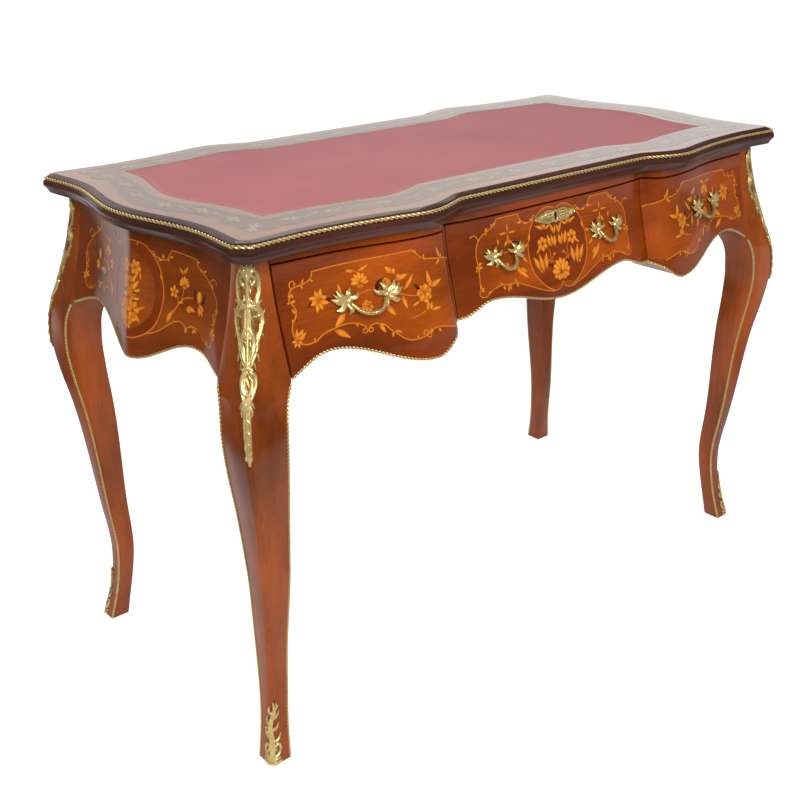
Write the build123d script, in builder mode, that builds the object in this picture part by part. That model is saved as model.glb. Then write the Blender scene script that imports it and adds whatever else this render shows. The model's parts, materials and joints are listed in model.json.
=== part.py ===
"""Louis XV style writing table: bombe apron, three drawers, cabriole legs and a leather lined top.

Millimetres, +Z up. The origin is on the floor under the middle of the top, the drawers face -Y
and +X runs to the right of someone who sits at them.
"""

import os
from math import cos, pi, sin, sqrt

from build123d import *

os.makedirs("parts", exist_ok=True)

# ---------------------------------------------------------------- overall sizes
LENGTH = 1157.0          # over the mouldings, at the swell of the two ends
DEPTH = 590.0            # over the mouldings, at the swells of front and back
HEIGHT = 780.0

# ---------------------------------------------------------------- top
PANEL_THICK = 22.0
MOULD_DROP = 6.0         # the moulding hangs below the panel it is glued to
MOULD_WIDTH = 17.0
MOULD_UNDERCUT = 8.5     # its lower edge behind its widest line
MOULD_SLOPE = 14.0       # height of the slope under the widest line
MOULD_CLEAR = 0.5        # fronts to the hanging edge of the moulding
CORNER_CLIP = 19.0       # each top corner is cut off at 45 degrees
CORNER_BLOCK = 25.0
FRONT_SWELL = 26.0       # how far the top's long sides swell in plan, in front of the side drawers
END_SWELL = 25.0
FRONT_FLARE = 7.0        # the top spreads a little again at its corners
END_FLARE = 5.5
BEAD_TOP = 3.5           # rope bead below the top surface
BEAD_HIGH = 5.0
BEAD_DEEP = 5.0
BEAD_SET = 2.0           # rope bead behind the widest line of the moulding
BEAD_JOINT = 0.2         # between the lengths of the bead
LEATHER_THICK = 1.6
LEATHER_HALF_X = 459.0
LEATHER_HALF_Y = 181.0
LEATHER_SWELL = 24.0     # its long sides follow the swells of the top
LEATHER_BOW = 30.0       # crest of its short sides
LEATHER_BELL = 150.0     # half width of that crest
LEATHER_BACK = 6.0       # it lies this far nearer the back

# ---------------------------------------------------------------- apron and drawers
FRONT_OVERHANG = 29.0    # moulding in front of the leg posts, at its narrowest
END_OVERHANG = 25.5
END_CREST = 28.0         # crest of the end panels before the leg posts, in plan
SIDE_SWELL = 32.0        # crest of the side drawers before the leg posts, in plan
CENTRE_STAND = 6.5       # ends of the centre drawer before the leg posts
CENTRE_BOW = 10.0        # its middle before its ends
APRON_BELLY = 34.0       # how far the apron leans out between its top and its lower edge
END_BELLY = 26.0         # the same in the middle of the ends
BELLY_HEIGHT = 192.0
CENTRE_HALF = 210.0      # middle of the gap between the centre and the side drawers
STILE = 33.0             # leg post seen beside each side drawer, at the top
RAIL_HIGH = 19.0
TOP_GAP = 3.0            # over the drawer fronts
GAP = 2.0                # beside them
FRONT_INSIDE = 24.0      # thickness of the fronts at their thinnest
END_THICK = 24.0
BOX_BOARD = 10.0
BOX_BOTTOM = 4.0
BOX_HIGH = 100.0
BOX_LONG = 400.0
BOX_UNDER_RAIL = 9.0     # rail to the top of the drawer boxes
GROOVE = 4.0
SIDE_PLAY = 2.0
RUNNER_PLAY = 0.4
RUNNER = (20.0, 14.0)    # across, high
LINING = 12.0
PARTITION = 16.0
FRONT_CLEAR = 2.0        # drawer front to the partition behind it
STOP = (9.0, 12.0, 18.0)
STOP_CLEAR = 0.5

# ---------------------------------------------------------------- legs
KNEE_BELOW = 233.0       # knee under the carcase top
POST_BELOW = 163.0       # where the square post ends and the leg's inner curve begins
FOOT_IN = 11.0           # the feet splay less to front and back than to the ends
ARRIS = 7.0              # flat on the outer corner of the legs

# ---------------------------------------------------------------- brass
STRIP_PROUD = 1.5        # rope strip along the lower edges and the legs
STRIP_WIDE = 4.5
MOUNT_THICK = 4.5
MOUNT_TOP_GAP = 4.0
SABOT_HIGH = 98.0
SABOT_THICK = 4.0
SIDE_HANDLE_X = 366.0
SIDE_HANDLE_BELOW = 84.0     # plates under the carcase top
SIDE_SPREAD = 27.0
SIDE_PLATE = (19.0, 14.0)
CENTRE_HANDLE_X = 111.0
CENTRE_HANDLE_BELOW = 77.0
CENTRE_SPREAD = 20.0
CENTRE_PLATE = (16.0, 12.0)
PLATE_THICK = 4.0
BAIL_R = 3.0
BAIL_DROP = 18.0
BAIL_PROUD = 17.0
STUD_R = 2.0
STUD_HOLE_PLAY = 0.15
NUT = (5.0, 4.0)         # radius, thickness
SCUTCHEON_HALF = (47.0, 11.0)
SCUTCHEON_BELOW = 41.0
SCUTCHEON_THICK = 3.0
KEYHOLE_R = 3.2
KEY_SLOT = (2.6, 7.5)

# ---------------------------------------------------------------- lock
LOCK = (60.0, 15.0, 44.0)
LOCK_PLAY = 0.25
LOCK_WALL = 4.0
BOLT = (22.0, 6.0, 30.0)
BOLT_THROW = 6.5
BOLT_PLAY = 0.3

# ---------------------------------------------------------------- fixings
SCREW_R = 2.0
SCREW_HEAD = (4.2, 3.0)
SCREW_LONG = 33.0
GLUE_BLOCK = (40.0, 18.0, 20.0)

# ---------------------------------------------------------------- places worked out from the sizes
CARCASE = HEIGHT - PANEL_THICK                      # underside of the panel, top of everything below
BELLY_TOP = CARCASE - MOULD_DROP
FLAT_Y = DEPTH / 2 - FRONT_SWELL - FRONT_OVERHANG   # apron plane where it doesn't swell
FLAT_X = LENGTH / 2 - END_SWELL - END_OVERHANG
POST_X = FLAT_X - STILE                             # inner faces of the leg posts
INSIDE_Y = FLAT_Y - FRONT_INSIDE
INSIDE_X = FLAT_X - END_THICK
POST_Z = CARCASE - POST_BELOW
KNEE_Z = CARCASE - KNEE_BELOW
RAIL_Z = CARCASE - RAIL_HIGH
FRONT_TOP = RAIL_Z - TOP_GAP
SIDE_SPAN = POST_X - CENTRE_HALF


def smooth(t):
    """Runs from 0 to 1 with a level start and a level end."""
    t = min(max(t, 0.0), 1.0)
    return t * t * (3 - 2 * t)


def spread(start, stop, pieces):
    """Evenly spaced values from start to stop."""
    return [start + (stop - start) * i / pieces for i in range(pieces + 1)]


def wave(turns, s):
    """Height at s of a line that swings by half cosines between its turning points."""
    s = min(max(s, turns[0][0]), turns[-1][0])
    for (s0, z0), (s1, z1) in zip(turns, turns[1:]):
        if s <= s1:
            return z0 + (z1 - z0) * (1 - cos(pi * (s - s0) / (s1 - s0))) / 2
    return turns[-1][1]


def through(points):
    """A smooth curve through the points: cubic pieces that share their slopes."""
    s = [p[0] for p in points]
    v = [p[1] for p in points]
    step = [b - a for a, b in zip(s, s[1:])]
    rise = [(b - a) / h for a, b, h in zip(v, v[1:], step)]
    inner = [(rise[i] * step[i + 1] + rise[i + 1] * step[i]) / (step[i] + step[i + 1])
             for i in range(len(step) - 1)]
    slope = [rise[0], *inner, rise[-1]]

    def value(x):
        x = min(max(x, s[0]), s[-1])
        i = max(k for k in range(len(step)) if s[k] <= x)
        h = step[i]
        t = (x - s[i]) / h
        start = (1 + 2 * t) * (1 - t) ** 2 * v[i] + t * (1 - t) ** 2 * h * slope[i]
        end = t * t * (3 - 2 * t) * v[i + 1] - t * t * (1 - t) * h * slope[i + 1]
        return start + end

    return value


# ---------------------------------------------------------------- the shapes that everything follows
top_plan = through([
    (-0.105, 0.0), (-0.035, 0.09), (0.035, 0.43), (0.105, 0.75), (0.175, 0.96), (0.218, 1.0), (0.316, 0.86),
    (0.386, 0.68), (0.456, 0.54), (0.526, 0.41), (0.667, 0.23), (0.807, 0.125), (0.947, 0.07), (1.05, 0.0),
])


def swell(x):
    """Plan swell of the top's long sides, 0 to 1: an ogee beside the centre, a slow fall to the leg."""
    return top_plan((abs(x) - CENTRE_HALF) / SIDE_SPAN)


END_REACH = 0.83 * (FLAT_Y - STILE)


def end_swell(y):
    """Plan swell of the top's ends, 0 to 1: one rounded crest in the middle."""
    return cos(pi * abs(y) / (2 * END_REACH)) ** 2 if abs(y) < END_REACH else 0.0


def top_front(x):
    """Half depth of the moulding's widest line at x."""
    start = POST_X - 40
    return DEPTH / 2 - FRONT_SWELL * (1 - swell(x)) + FRONT_FLARE * smooth((abs(x) - start) / 80)


def top_end(y):
    """Half length of the moulding's widest line at y."""
    start = FLAT_Y - 60
    return LENGTH / 2 - END_SWELL * (1 - end_swell(y)) + END_FLARE * smooth((abs(y) - start) / 75)


CORNER_X = LENGTH / 2 - END_SWELL + END_FLARE
CORNER_Y = DEPTH / 2 - FRONT_SWELL + FRONT_FLARE


def belly(z):
    """How far the apron stands out at height z, against its top."""
    t = min(max((BELLY_TOP - z) / BELLY_HEIGHT, 0.0), 1.0)
    return APRON_BELLY * sin(pi / 2 * t) ** 2


side_plan = through([
    (0.0, CENTRE_STAND), (0.021, 0.28 * SIDE_SWELL), (0.049, 0.59 * SIDE_SWELL), (0.077, 0.84 * SIDE_SWELL),
    (0.123, 0.97 * SIDE_SWELL), (0.204, SIDE_SWELL), (0.316, 0.905 * SIDE_SWELL), (0.456, 0.64 * SIDE_SWELL),
    (0.561, 0.42 * SIDE_SWELL), (0.667, 0.265 * SIDE_SWELL), (0.807, 0.17 * SIDE_SWELL), (1.0, 0.06 * SIDE_SWELL),
])


def front_plan(x):
    """The fronts before the leg posts: a bowed centre drawer, then a steep step to the side drawers."""
    if abs(x) < CENTRE_HALF:
        return CENTRE_STAND + CENTRE_BOW * (1 - (x / CENTRE_HALF) ** 4)
    return side_plan((abs(x) - CENTRE_HALF) / SIDE_SPAN)


def front_reach(x, z):
    return FLAT_Y + belly(z) + front_plan(x)


def stations(s0, s1, pieces):
    """Places along a board: evenly spaced, and closer on the steps beside the centre drawer."""
    step = [CENTRE_HALF + SIDE_SPAN * share for share in (0.0, 0.021, 0.049, 0.077, 0.1, 0.13)]
    close = [s for s in [-x for x in step] + step if s0 + 2 < s < s1 - 2]
    even = [s for s in spread(s0, s1, pieces)[1:-1] if all(abs(s - c) > 5 for c in close)]
    return [s0, *sorted(even + close), s1]


end_keel = through([
    (0.0, 1.0), (0.04, 0.975), (0.1, 0.89), (0.2, 0.735), (0.35, 0.51), (0.5, 0.315), (0.7, 0.12), (0.85, 0.035),
    (1.0, 0.0),
])


def end_plan(y):
    """The ends before the leg posts: a narrow crest in the middle that falls away to both sides."""
    return END_CREST * end_keel(abs(y) / END_REACH)


def end_reach(y, z):
    """The belly of the ends is shallower than the legs' and runs into theirs beside them."""
    share = smooth((abs(y) / POST_Y - 0.72) / 0.28)
    lean = (END_BELLY + (APRON_BELLY - END_BELLY) * share) / APRON_BELLY
    return FLAT_X + belly(z) * lean + end_plan(y)


def front_low(x):
    """Lower edge of the front and back aprons."""
    turns = [
        (0.0, CARCASE - 159),
        (CENTRE_HALF * 0.68, CARCASE - 134.5),
        (CENTRE_HALF * 0.97, CARCASE - 150),
        (CENTRE_HALF + 0.22 * SIDE_SPAN, CARCASE - 181),
        (CENTRE_HALF + 0.775 * SIDE_SPAN, CARCASE - 139),
        (CENTRE_HALF + 1.12 * SIDE_SPAN, CARCASE - 172),
    ]
    return wave(turns, abs(x))


def end_low(y):
    """Lower edge of the end aprons."""
    post = POST_Y
    turns = [(0.0, CARCASE - 186), (0.66 * post, CARCASE - 144), (1.2 * post, CARCASE - 171)]
    return wave(turns, abs(y))


leg_stand = through([
    (0, 38), (0.114 * KNEE_Z, 24.5), (0.257 * KNEE_Z, 17), (0.438 * KNEE_Z, 21),
    (0.61 * KNEE_Z, 25.5), (0.781 * KNEE_Z, 34), (0.895 * KNEE_Z, 43), (KNEE_Z, 47),
    (CARCASE - 188, 42), (CARCASE - 138, 27), (CARCASE - 68, 9), (BELLY_TOP, 0), (CARCASE, 0),
])
POST_Y = FLAT_Y + leg_stand(POST_Z) - (FLAT_X + leg_stand(POST_Z) - POST_X)
leg_thick = through([
    (0, 33), (0.095 * KNEE_Z, 29), (0.257 * KNEE_Z, 30.5), (0.438 * KNEE_Z, 36),
    (0.61 * KNEE_Z, 43), (0.781 * KNEE_Z, 51), (0.895 * KNEE_Z, 57.5), (KNEE_Z, 61.5),
    (POST_Z - 24, 63), (POST_Z, FLAT_X + leg_stand(POST_Z) - POST_X),
])


def foot_in(z):
    return FOOT_IN * smooth((0.61 * KNEE_Z - z) / (0.36 * KNEE_Z))


def leg_x(z):
    return FLAT_X + leg_stand(z)


def leg_y(z):
    return FLAT_Y + leg_stand(z) - foot_in(z)


def finish(piece, name):
    """Names a finished piece and writes its file."""
    piece.label = name
    export_step(piece, f"parts/{name}.step")
    return piece


# ---------------------------------------------------------------- top
def outline(inset, clip):
    """Closed plan outline of the top, drawn inside its widest line by the inset."""
    end_x = CORNER_X - inset - clip
    end_y = CORNER_Y - inset - clip
    front = [(x, -(top_front(x) - inset)) for x in spread(-end_x, end_x, 64)]
    right = [(top_end(y) - inset, y) for y in spread(-end_y, end_y, 32)]
    back = [(-x, -y) for x, y in front]
    left = [(-x, -y) for x, y in right]
    with BuildLine() as line:
        sides = [Spline(*points) for points in (front, right, back, left)]
        for one, following in zip(sides, sides[1:] + sides[:1]):
            Line(one @ 1, following @ 0)
    return line.line


def clip_at(inset):
    """Cut of the corner on an outline that is set in."""
    return CORNER_CLIP - inset * (2 - sqrt(2))


def outline_face(z, inset):
    with BuildSketch(Plane.XY.offset(z)) as sketch:
        with BuildLine():
            add(outline(inset, clip_at(inset)))
        make_face()
    return sketch.sketch


def leather_edge(play):
    """Outline of the leather: bowed ends, long sides that follow the swells of the top."""
    half_x = LEATHER_HALF_X + play
    half_y = LEATHER_HALF_Y + play

    def side(x):
        return half_y + LEATHER_SWELL * swell(x)

    def end(y):
        return half_x + (LEATHER_BOW * cos(pi * y / (2 * LEATHER_BELL)) ** 2 if abs(y) < LEATHER_BELL else 0.0)

    front = [(x, -side(x)) for x in spread(-half_x, half_x, 48)]
    right = [(end(y), y) for y in spread(-side(half_x), side(half_x), 24)]
    back = [(-x, -y) for x, y in front]
    left = [(-x, -y) for x, y in right]
    with BuildLine() as line:
        for points in (front, right, back, left):
            Spline(*[(x, y + LEATHER_BACK) for x, y in points])
    return line.line


with BuildPart() as leather_inset:
    with BuildSketch(Plane.XY.offset(HEIGHT - LEATHER_THICK)):
        with BuildLine():
            add(leather_edge(0.0))
        make_face()
    extrude(amount=LEATHER_THICK)
finish(leather_inset.part, "leather_inset")

front_screws = [-440.0, -300.0, -110.0, 110.0, 300.0, 440.0]
front_screws = [x * POST_X / 495 for x in front_screws]
block_places = [x * POST_X / 495 for x in (-420.0, -250.0, 0.0, 250.0, 420.0)]
SCREW_Y = (FLAT_Y + INSIDE_Y) / 2
BLOCK_Y = INSIDE_Y - GLUE_BLOCK[1] / 2
SCREW_START = RAIL_Z + 1.0
BLOCK_Z = CARCASE - GLUE_BLOCK[2]

with BuildPart() as top_screws:
    for places, y, low in ((front_screws, -SCREW_Y, SCREW_START), (block_places, BLOCK_Y, BLOCK_Z + 1)):
        with Locations([(x, y, low) for x in places]):
            Cylinder(SCREW_HEAD[0], SCREW_HEAD[1], align=(Align.CENTER, Align.CENTER, Align.MIN))
            Cylinder(SCREW_R, SCREW_LONG, align=(Align.CENTER, Align.CENTER, Align.MIN))
finish(top_screws.part, "top_screws")

with BuildPart() as top_panel:
    add(outline_face(CARCASE, MOULD_WIDTH))
    extrude(amount=PANEL_THICK)
    add(leather_inset.part, mode=Mode.SUBTRACT)
    add(top_screws.part, mode=Mode.SUBTRACT)
finish(top_panel.part, "top_panel")

MOULD_Z = CARCASE - MOULD_DROP
BEAD_Z = HEIGHT - BEAD_TOP - BEAD_HIGH
BEAD_INSET = BEAD_SET + BEAD_DEEP
BLOCK_X0 = CORNER_X - CORNER_BLOCK
BLOCK_Y0 = CORNER_Y - CORNER_BLOCK

with BuildPart() as rope_bead:
    add(outline_face(BEAD_Z, BEAD_SET))
    extrude(amount=BEAD_HIGH)
    add(outline_face(BEAD_Z, BEAD_INSET))
    extrude(amount=BEAD_HIGH, mode=Mode.SUBTRACT)
    with Locations([(sx * BLOCK_X0, 0, BEAD_Z) for sx in (-1, 0, 1)]):
        Box(BEAD_JOINT, 2 * DEPTH, 100, mode=Mode.SUBTRACT)
    with Locations([(0, sy * BLOCK_Y0, BEAD_Z) for sy in (-1, 1)]):
        Box(2 * LENGTH, BEAD_JOINT, 100, mode=Mode.SUBTRACT)
finish(rope_bead.part, "top_rope_bead")

with BuildPart() as moulding_ring:
    add(outline_face(MOULD_Z, MOULD_UNDERCUT))
    add(outline_face(MOULD_Z + MOULD_SLOPE, 0.0))
    loft(ruled=True)
    add(outline_face(MOULD_Z + MOULD_SLOPE, 0.0))
    extrude(amount=BEAD_Z - MOULD_Z - MOULD_SLOPE)
    add(outline_face(BEAD_Z, BEAD_INSET))
    extrude(amount=BEAD_HIGH)
    add(outline_face(HEIGHT - BEAD_TOP, BEAD_INSET))
    add(outline_face(HEIGHT, MOULD_WIDTH - 0.5))
    loft(ruled=True)
    add(outline_face(MOULD_Z, MOULD_WIDTH))
    extrude(amount=HEIGHT - MOULD_Z, mode=Mode.SUBTRACT)
    # The hanging edge is cut back where the centre drawer and the back reach under it.
    with BuildSketch(Plane.XY.offset(MOULD_Z)):
        with BuildLine():
            fronts = [(x, -FLAT_Y - front_plan(x) - MOULD_CLEAR) for x in stations(-POST_X, POST_X, 64)]
            front_edge = Spline(*fronts)
            back_edge = Spline(*[(-x, -y) for x, y in fronts])
            Line(front_edge @ 1, back_edge @ 0)
            Line(back_edge @ 1, front_edge @ 0)
        make_face()
    extrude(amount=MOULD_DROP, mode=Mode.SUBTRACT)

with BuildPart() as corner_blocks:
    add(moulding_ring.part)
    with Locations([(sx * CORNER_X, sy * CORNER_Y, MOULD_Z) for sx in (-1, 1) for sy in (-1, 1)]):
        Box(2 * CORNER_BLOCK, 2 * CORNER_BLOCK, 100, align=(Align.CENTER, Align.CENTER, Align.CENTER),
            mode=Mode.INTERSECT)
finish(corner_blocks.part, "top_corner_blocks")

for name, centre, size in (
    ("top_moulding_front", (0, -DEPTH / 2), (2 * BLOCK_X0, 100)),
    ("top_moulding_back", (0, DEPTH / 2), (2 * BLOCK_X0, 100)),
    ("top_moulding_left", (-LENGTH / 2, 0), (100, 2 * BLOCK_Y0)),
    ("top_moulding_right", (LENGTH / 2, 0), (100, 2 * BLOCK_Y0)),
):
    with BuildPart() as moulding:
        add(moulding_ring.part)
        with Locations((*centre, MOULD_Z)):
            Box(*size, 100, mode=Mode.INTERSECT)
    finish(moulding.part, name)


# ---------------------------------------------------------------- bombe panels
LEVELS = spread(CARCASE - 200, BELLY_TOP, 6) + [CARCASE]


def bombe(reach, s0, s1, inside, pieces, proud=0.0, levels=LEVELS):
    """A board standing along X: its face follows reach(s, z), its back is flat or follows inside."""
    back_flat = not callable(inside)
    along = stations(s0, s1, pieces)
    with BuildPart() as board:
        for z in levels:
            with BuildSketch(Plane.XY.offset(z)):
                with BuildLine():
                    face = Spline(*[(s, -reach(s, z) - proud) for s in along])
                    if back_flat:
                        Polyline(face @ 1, (s1, -inside), (s0, -inside), face @ 0)
                    else:
                        rear = Spline(*[(s, -inside(s, z)) for s in along[::-1]])
                        Line(face @ 1, rear @ 0)
                        Line(rear @ 1, face @ 0)
                make_face()
        loft()
    return board.part


def under(low, s0, s1, pieces, lift=0.0):
    """Everything under the lower edge between s0 and s1, as a solid that runs through from front to back."""
    with BuildPart() as waste:
        with BuildSketch(Plane.XZ):
            with BuildLine():
                edge = Spline(*[(s, low(s) + lift) for s in spread(s0, s1, pieces)])
                Polyline(edge @ 1, (s1, 0), (s0, 0), edge @ 0)
            make_face()
        extrude(amount=DEPTH + LENGTH, both=True)
    return waste.part


def apron_strip(reach, low, s0, s1, pieces):
    """Rope strip let into the lower edge of a bombe board, standing a little proud of it."""
    levels = spread(CARCASE - 200, CARCASE - 110, 5)
    with BuildPart() as strip:
        add(bombe(reach, s0, s1, lambda s, z: reach(s, z) - STRIP_WIDE + STRIP_PROUD, pieces,
                  STRIP_PROUD, levels))
        add(under(low, s0, s1, pieces, STRIP_WIDE - STRIP_PROUD), mode=Mode.INTERSECT)
        add(under(low, s0, s1, pieces, -STRIP_PROUD), mode=Mode.SUBTRACT)
    return strip.part


def apron_board(reach, low, s0, s1, inside, pieces, top, strip):
    """Bombe board with a shaped lower edge and a rebate for its rope strip."""
    with BuildPart() as board:
        add(bombe(reach, s0, s1, inside, pieces))
        add(under(low, s0, s1, pieces), mode=Mode.SUBTRACT)
        if top < CARCASE:
            with Locations(((s0 + s1) / 2, 0, top)):
                Box(s1 - s0 + 10, DEPTH * 2, 200, align=(Align.CENTER, Align.CENTER, Align.MIN),
                    mode=Mode.SUBTRACT)
        add(strip, mode=Mode.SUBTRACT)
    return board.part


def turned(piece, angle):
    """The piece turned about the vertical axis through the origin."""
    return piece.rotate(Axis.Z, angle)


end_strip = apron_strip(end_reach, end_low, -POST_Y, POST_Y, 24)
end_board = apron_board(end_reach, end_low, -POST_Y, POST_Y, INSIDE_X, 24, CARCASE, end_strip)
for name, angle in (("end_panel_left", -90), ("end_panel_right", 90)):
    finish(turned(end_board, angle), name)

# The same three shapes make the drawer fronts and, without the gaps, the dummy fronts of the back.
SIDE_IN = CENTRE_HALF + GAP / 2
SIDE_OUT = POST_X - GAP
back_strips = []
for name, s0, s1, pieces in (
    ("back_apron_left", -POST_X, -CENTRE_HALF, 20),
    ("back_apron_centre", -CENTRE_HALF, CENTRE_HALF, 24),
    ("back_apron_right", CENTRE_HALF, POST_X, 20),
):
    strip = apron_strip(front_reach, front_low, s0, s1, pieces)
    board = apron_board(front_reach, front_low, s0, s1, INSIDE_Y, pieces, CARCASE, strip)
    finish(board.mirror(Plane.XZ), name)
    back_strips.append(strip.mirror(Plane.XZ))

with BuildPart() as apron_strips:
    for strip in back_strips:
        add(strip)
    add(turned(end_strip, -90))
    add(turned(end_strip, 90))
finish(apron_strips.part, "apron_rope_strips")

# ---------------------------------------------------------------- front rail
MORTISE = (BOLT[0] + 4, BOLT[1] + 3, BOLT_THROW + 2.5)
LOCK_Y = -(INSIDE_Y + LOCK[1] / 2)

with BuildPart() as front_rail:
    add(bombe(front_reach, -POST_X, POST_X, INSIDE_Y, 64, levels=spread(RAIL_Z, BELLY_TOP, 1) + [CARCASE]))
    with Locations((0, LOCK_Y, RAIL_Z)):
        Box(*MORTISE, align=(Align.CENTER, Align.CENTER, Align.MIN), mode=Mode.SUBTRACT)
    with Locations([(x, -SCREW_Y, RAIL_Z) for x in front_screws]):
        Cylinder(SCREW_HEAD[0], 1.0, align=(Align.CENTER, Align.CENTER, Align.MIN), mode=Mode.SUBTRACT)
    add(top_screws.part, mode=Mode.SUBTRACT)
finish(front_rail.part, "front_rail")

# ---------------------------------------------------------------- drawer guides
BOX_Z = RAIL_Z - BOX_UNDER_RAIL - BOX_HIGH
RUNNER_TOP = BOX_Z - RUNNER_PLAY
BOX_BACK = -INSIDE_Y + BOX_LONG
LINING_IN = POST_X - LINING
PART_OUT = CENTRE_HALF + PARTITION / 2
PART_IN = CENTRE_HALF - PARTITION / 2
PART_LOW = CARCASE - 145
PART_FRONT = -INSIDE_Y + FRONT_CLEAR

with BuildPart() as drawer_partitions:
    with BuildSketch(Plane.YZ):
        with BuildLine():
            Polyline((PART_FRONT, PART_LOW), (INSIDE_Y, PART_LOW), (INSIDE_Y, CARCASE), (-INSIDE_Y, CARCASE),
                     (-INSIDE_Y, RAIL_Z), (PART_FRONT, RAIL_Z), close=True)
        make_face()
    extrude(amount=PART_OUT, both=True)
    Box(2 * PART_IN, DEPTH, 2 * HEIGHT, mode=Mode.SUBTRACT)
finish(drawer_partitions.part, "drawer_partitions")

with BuildPart() as drawer_linings:
    for side in (-1, 1):
        with Locations((side * (LINING_IN + LINING / 2), PART_FRONT, CARCASE - 136)):
            Box(LINING, INSIDE_Y - PART_FRONT, 136, align=(Align.CENTER, Align.MIN, Align.MIN))
finish(drawer_linings.part, "drawer_linings")

runner_lines = [side * (face + way * RUNNER[0] / 2)
                for side in (-1, 1)
                for face, way in ((PART_IN, -1), (PART_OUT, 1), (LINING_IN, -1))]
with BuildPart() as drawer_runners:
    with Locations([(x, PART_FRONT, RUNNER_TOP) for x in runner_lines]):
        Box(RUNNER[0], INSIDE_Y - PART_FRONT, RUNNER[1], align=(Align.CENTER, Align.MIN, Align.MAX))
finish(drawer_runners.part, "drawer_runners")

with BuildPart() as drawer_stops:
    with Locations([(x, BOX_BACK + STOP_CLEAR, RUNNER_TOP) for x in runner_lines]):
        Box(*STOP, align=(Align.CENTER, Align.MIN, Align.MIN))
finish(drawer_stops.part, "drawer_stops")

with BuildPart() as glue_blocks:
    with Locations([(x, BLOCK_Y, BLOCK_Z) for x in block_places]):
        Box(*GLUE_BLOCK, align=(Align.CENTER, Align.CENTER, Align.MIN))
        Cylinder(SCREW_HEAD[0], 1.0, align=(Align.CENTER, Align.CENTER, Align.MIN), mode=Mode.SUBTRACT)
    add(top_screws.part, mode=Mode.SUBTRACT)
finish(glue_blocks.part, "glue_blocks")

# ---------------------------------------------------------------- legs
LOW_Z = spread(0, POST_Z, 14)
HIGH_Z = spread(POST_Z, CARCASE, 6)


def leg_solid(grow=0.0, bottom=0.0, top=CARCASE):
    """The back left leg, front faces turned to +X +Y: three sawn outlines that meet in one solid."""
    heights = LOW_Z + HIGH_Z[1:]

    def sawn(plane, outer, post):
        with BuildPart() as blank:
            with BuildSketch(plane):
                with BuildLine():
                    face = Spline(*[(outer(z) + grow, z) for z in heights])
                    rear = Spline(*[(outer(z) - leg_thick(z), z) for z in LOW_Z[::-1]])
                    Polyline(face @ 1, (post, CARCASE), (post, POST_Z))
                    Line(rear @ 1, face @ 0)
                make_face()
            extrude(amount=LENGTH, both=True)
        return blank.part

    def diagonal(z):
        return (leg_x(z) + leg_y(z) - ARRIS) / sqrt(2) + grow

    with BuildPart() as leg:
        add(sawn(Plane.XZ, leg_x, POST_X))
        add(sawn(Plane.YZ, leg_y, POST_Y), mode=Mode.INTERSECT)
        with BuildSketch(Plane(origin=(0, 0, 0), x_dir=(1, 1, 0), z_dir=(1, -1, 0))):
            with BuildLine():
                face = Spline(*[(diagonal(z), z) for z in heights])
                Polyline(face @ 1, (0, CARCASE), (0, 0), face @ 0)
            make_face()
        extrude(amount=LENGTH, both=True, mode=Mode.INTERSECT)
        if bottom > 0 or top < CARCASE:
            with Locations((0, 0, bottom)):
                Box(2 * LENGTH, 2 * LENGTH, top - bottom, align=(Align.CENTER, Align.CENTER, Align.MIN),
                    mode=Mode.INTERSECT)
    return leg.part


def leg_strips():
    """Rope strips along the two inner edges of the leg, from just under the apron down to the floor."""
    heights = LOW_Z
    half = STRIP_WIDE - STRIP_PROUD
    top = POST_Z - STRIP_WIDE

    def band(plane, curve, low, high):
        with BuildPart() as blank:
            with BuildSketch(plane):
                with BuildLine():
                    one = Spline(*[(curve(z) + low, z) for z in heights])
                    two = Spline(*[(curve(z) + high, z) for z in heights[::-1]])
                    Line(one @ 1, two @ 0)
                    Line(two @ 1, one @ 0)
                make_face()
            extrude(amount=LENGTH, both=True)
        return blank.part

    with BuildPart() as strips:
        add(band(Plane.XZ, lambda z: leg_x(z) - leg_thick(z), -STRIP_PROUD, half))
        add(band(Plane.YZ, leg_y, -half, STRIP_PROUD), mode=Mode.INTERSECT)
        Box(LENGTH, LENGTH, top, align=(Align.MIN, Align.MIN, Align.MIN), mode=Mode.INTERSECT)
    with BuildPart() as other:
        add(band(Plane.YZ, lambda z: leg_y(z) - leg_thick(z), -STRIP_PROUD, half))
        add(band(Plane.XZ, leg_x, -half, STRIP_PROUD), mode=Mode.INTERSECT)
        Box(LENGTH, LENGTH, top, align=(Align.MIN, Align.MIN, Align.MIN), mode=Mode.INTERSECT)
    return [strips.part, other.part]


def corner_outline(widths, top, bottom):
    """A prism along the leg's diagonal, as wide at each height as the casting is there."""
    with BuildPart() as prism:
        with BuildSketch(Plane(origin=(FLAT_X - FLAT_Y, 0, 0), x_dir=(1, -1, 0), z_dir=(-1, -1, 0))):
            with BuildLine():
                right = Spline(*[(foot_in(z) / sqrt(2) + half, z) for half, z in widths])
                left = Spline(*[(foot_in(z) / sqrt(2) - half, z) for half, z in widths[::-1]])
                Line(right @ 1, left @ 0)
                Line(left @ 1, right @ 0)
            make_face()
        extrude(amount=-LENGTH)
    return prism.part


leg = leg_solid()
quarter_strips = leg_strips()

MOUNT_TOP = MOULD_Z - MOUNT_TOP_GAP
mount_widths = [(half, MOUNT_TOP - drop) for half, drop in (
    (6, 0), (14, 16), (17, 32), (20.5, 68), (19, 84), (14, 110), (10.5, 142), (7, 172), (4.4, 205), (2.5, 246))]
with BuildPart() as mount:
    add(leg_solid(MOUNT_THICK, MOUNT_TOP - 250, MOUNT_TOP))
    add(corner_outline(mount_widths, MOUNT_TOP, MOUNT_TOP - 246), mode=Mode.INTERSECT)
    add(leg, mode=Mode.SUBTRACT)

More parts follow.
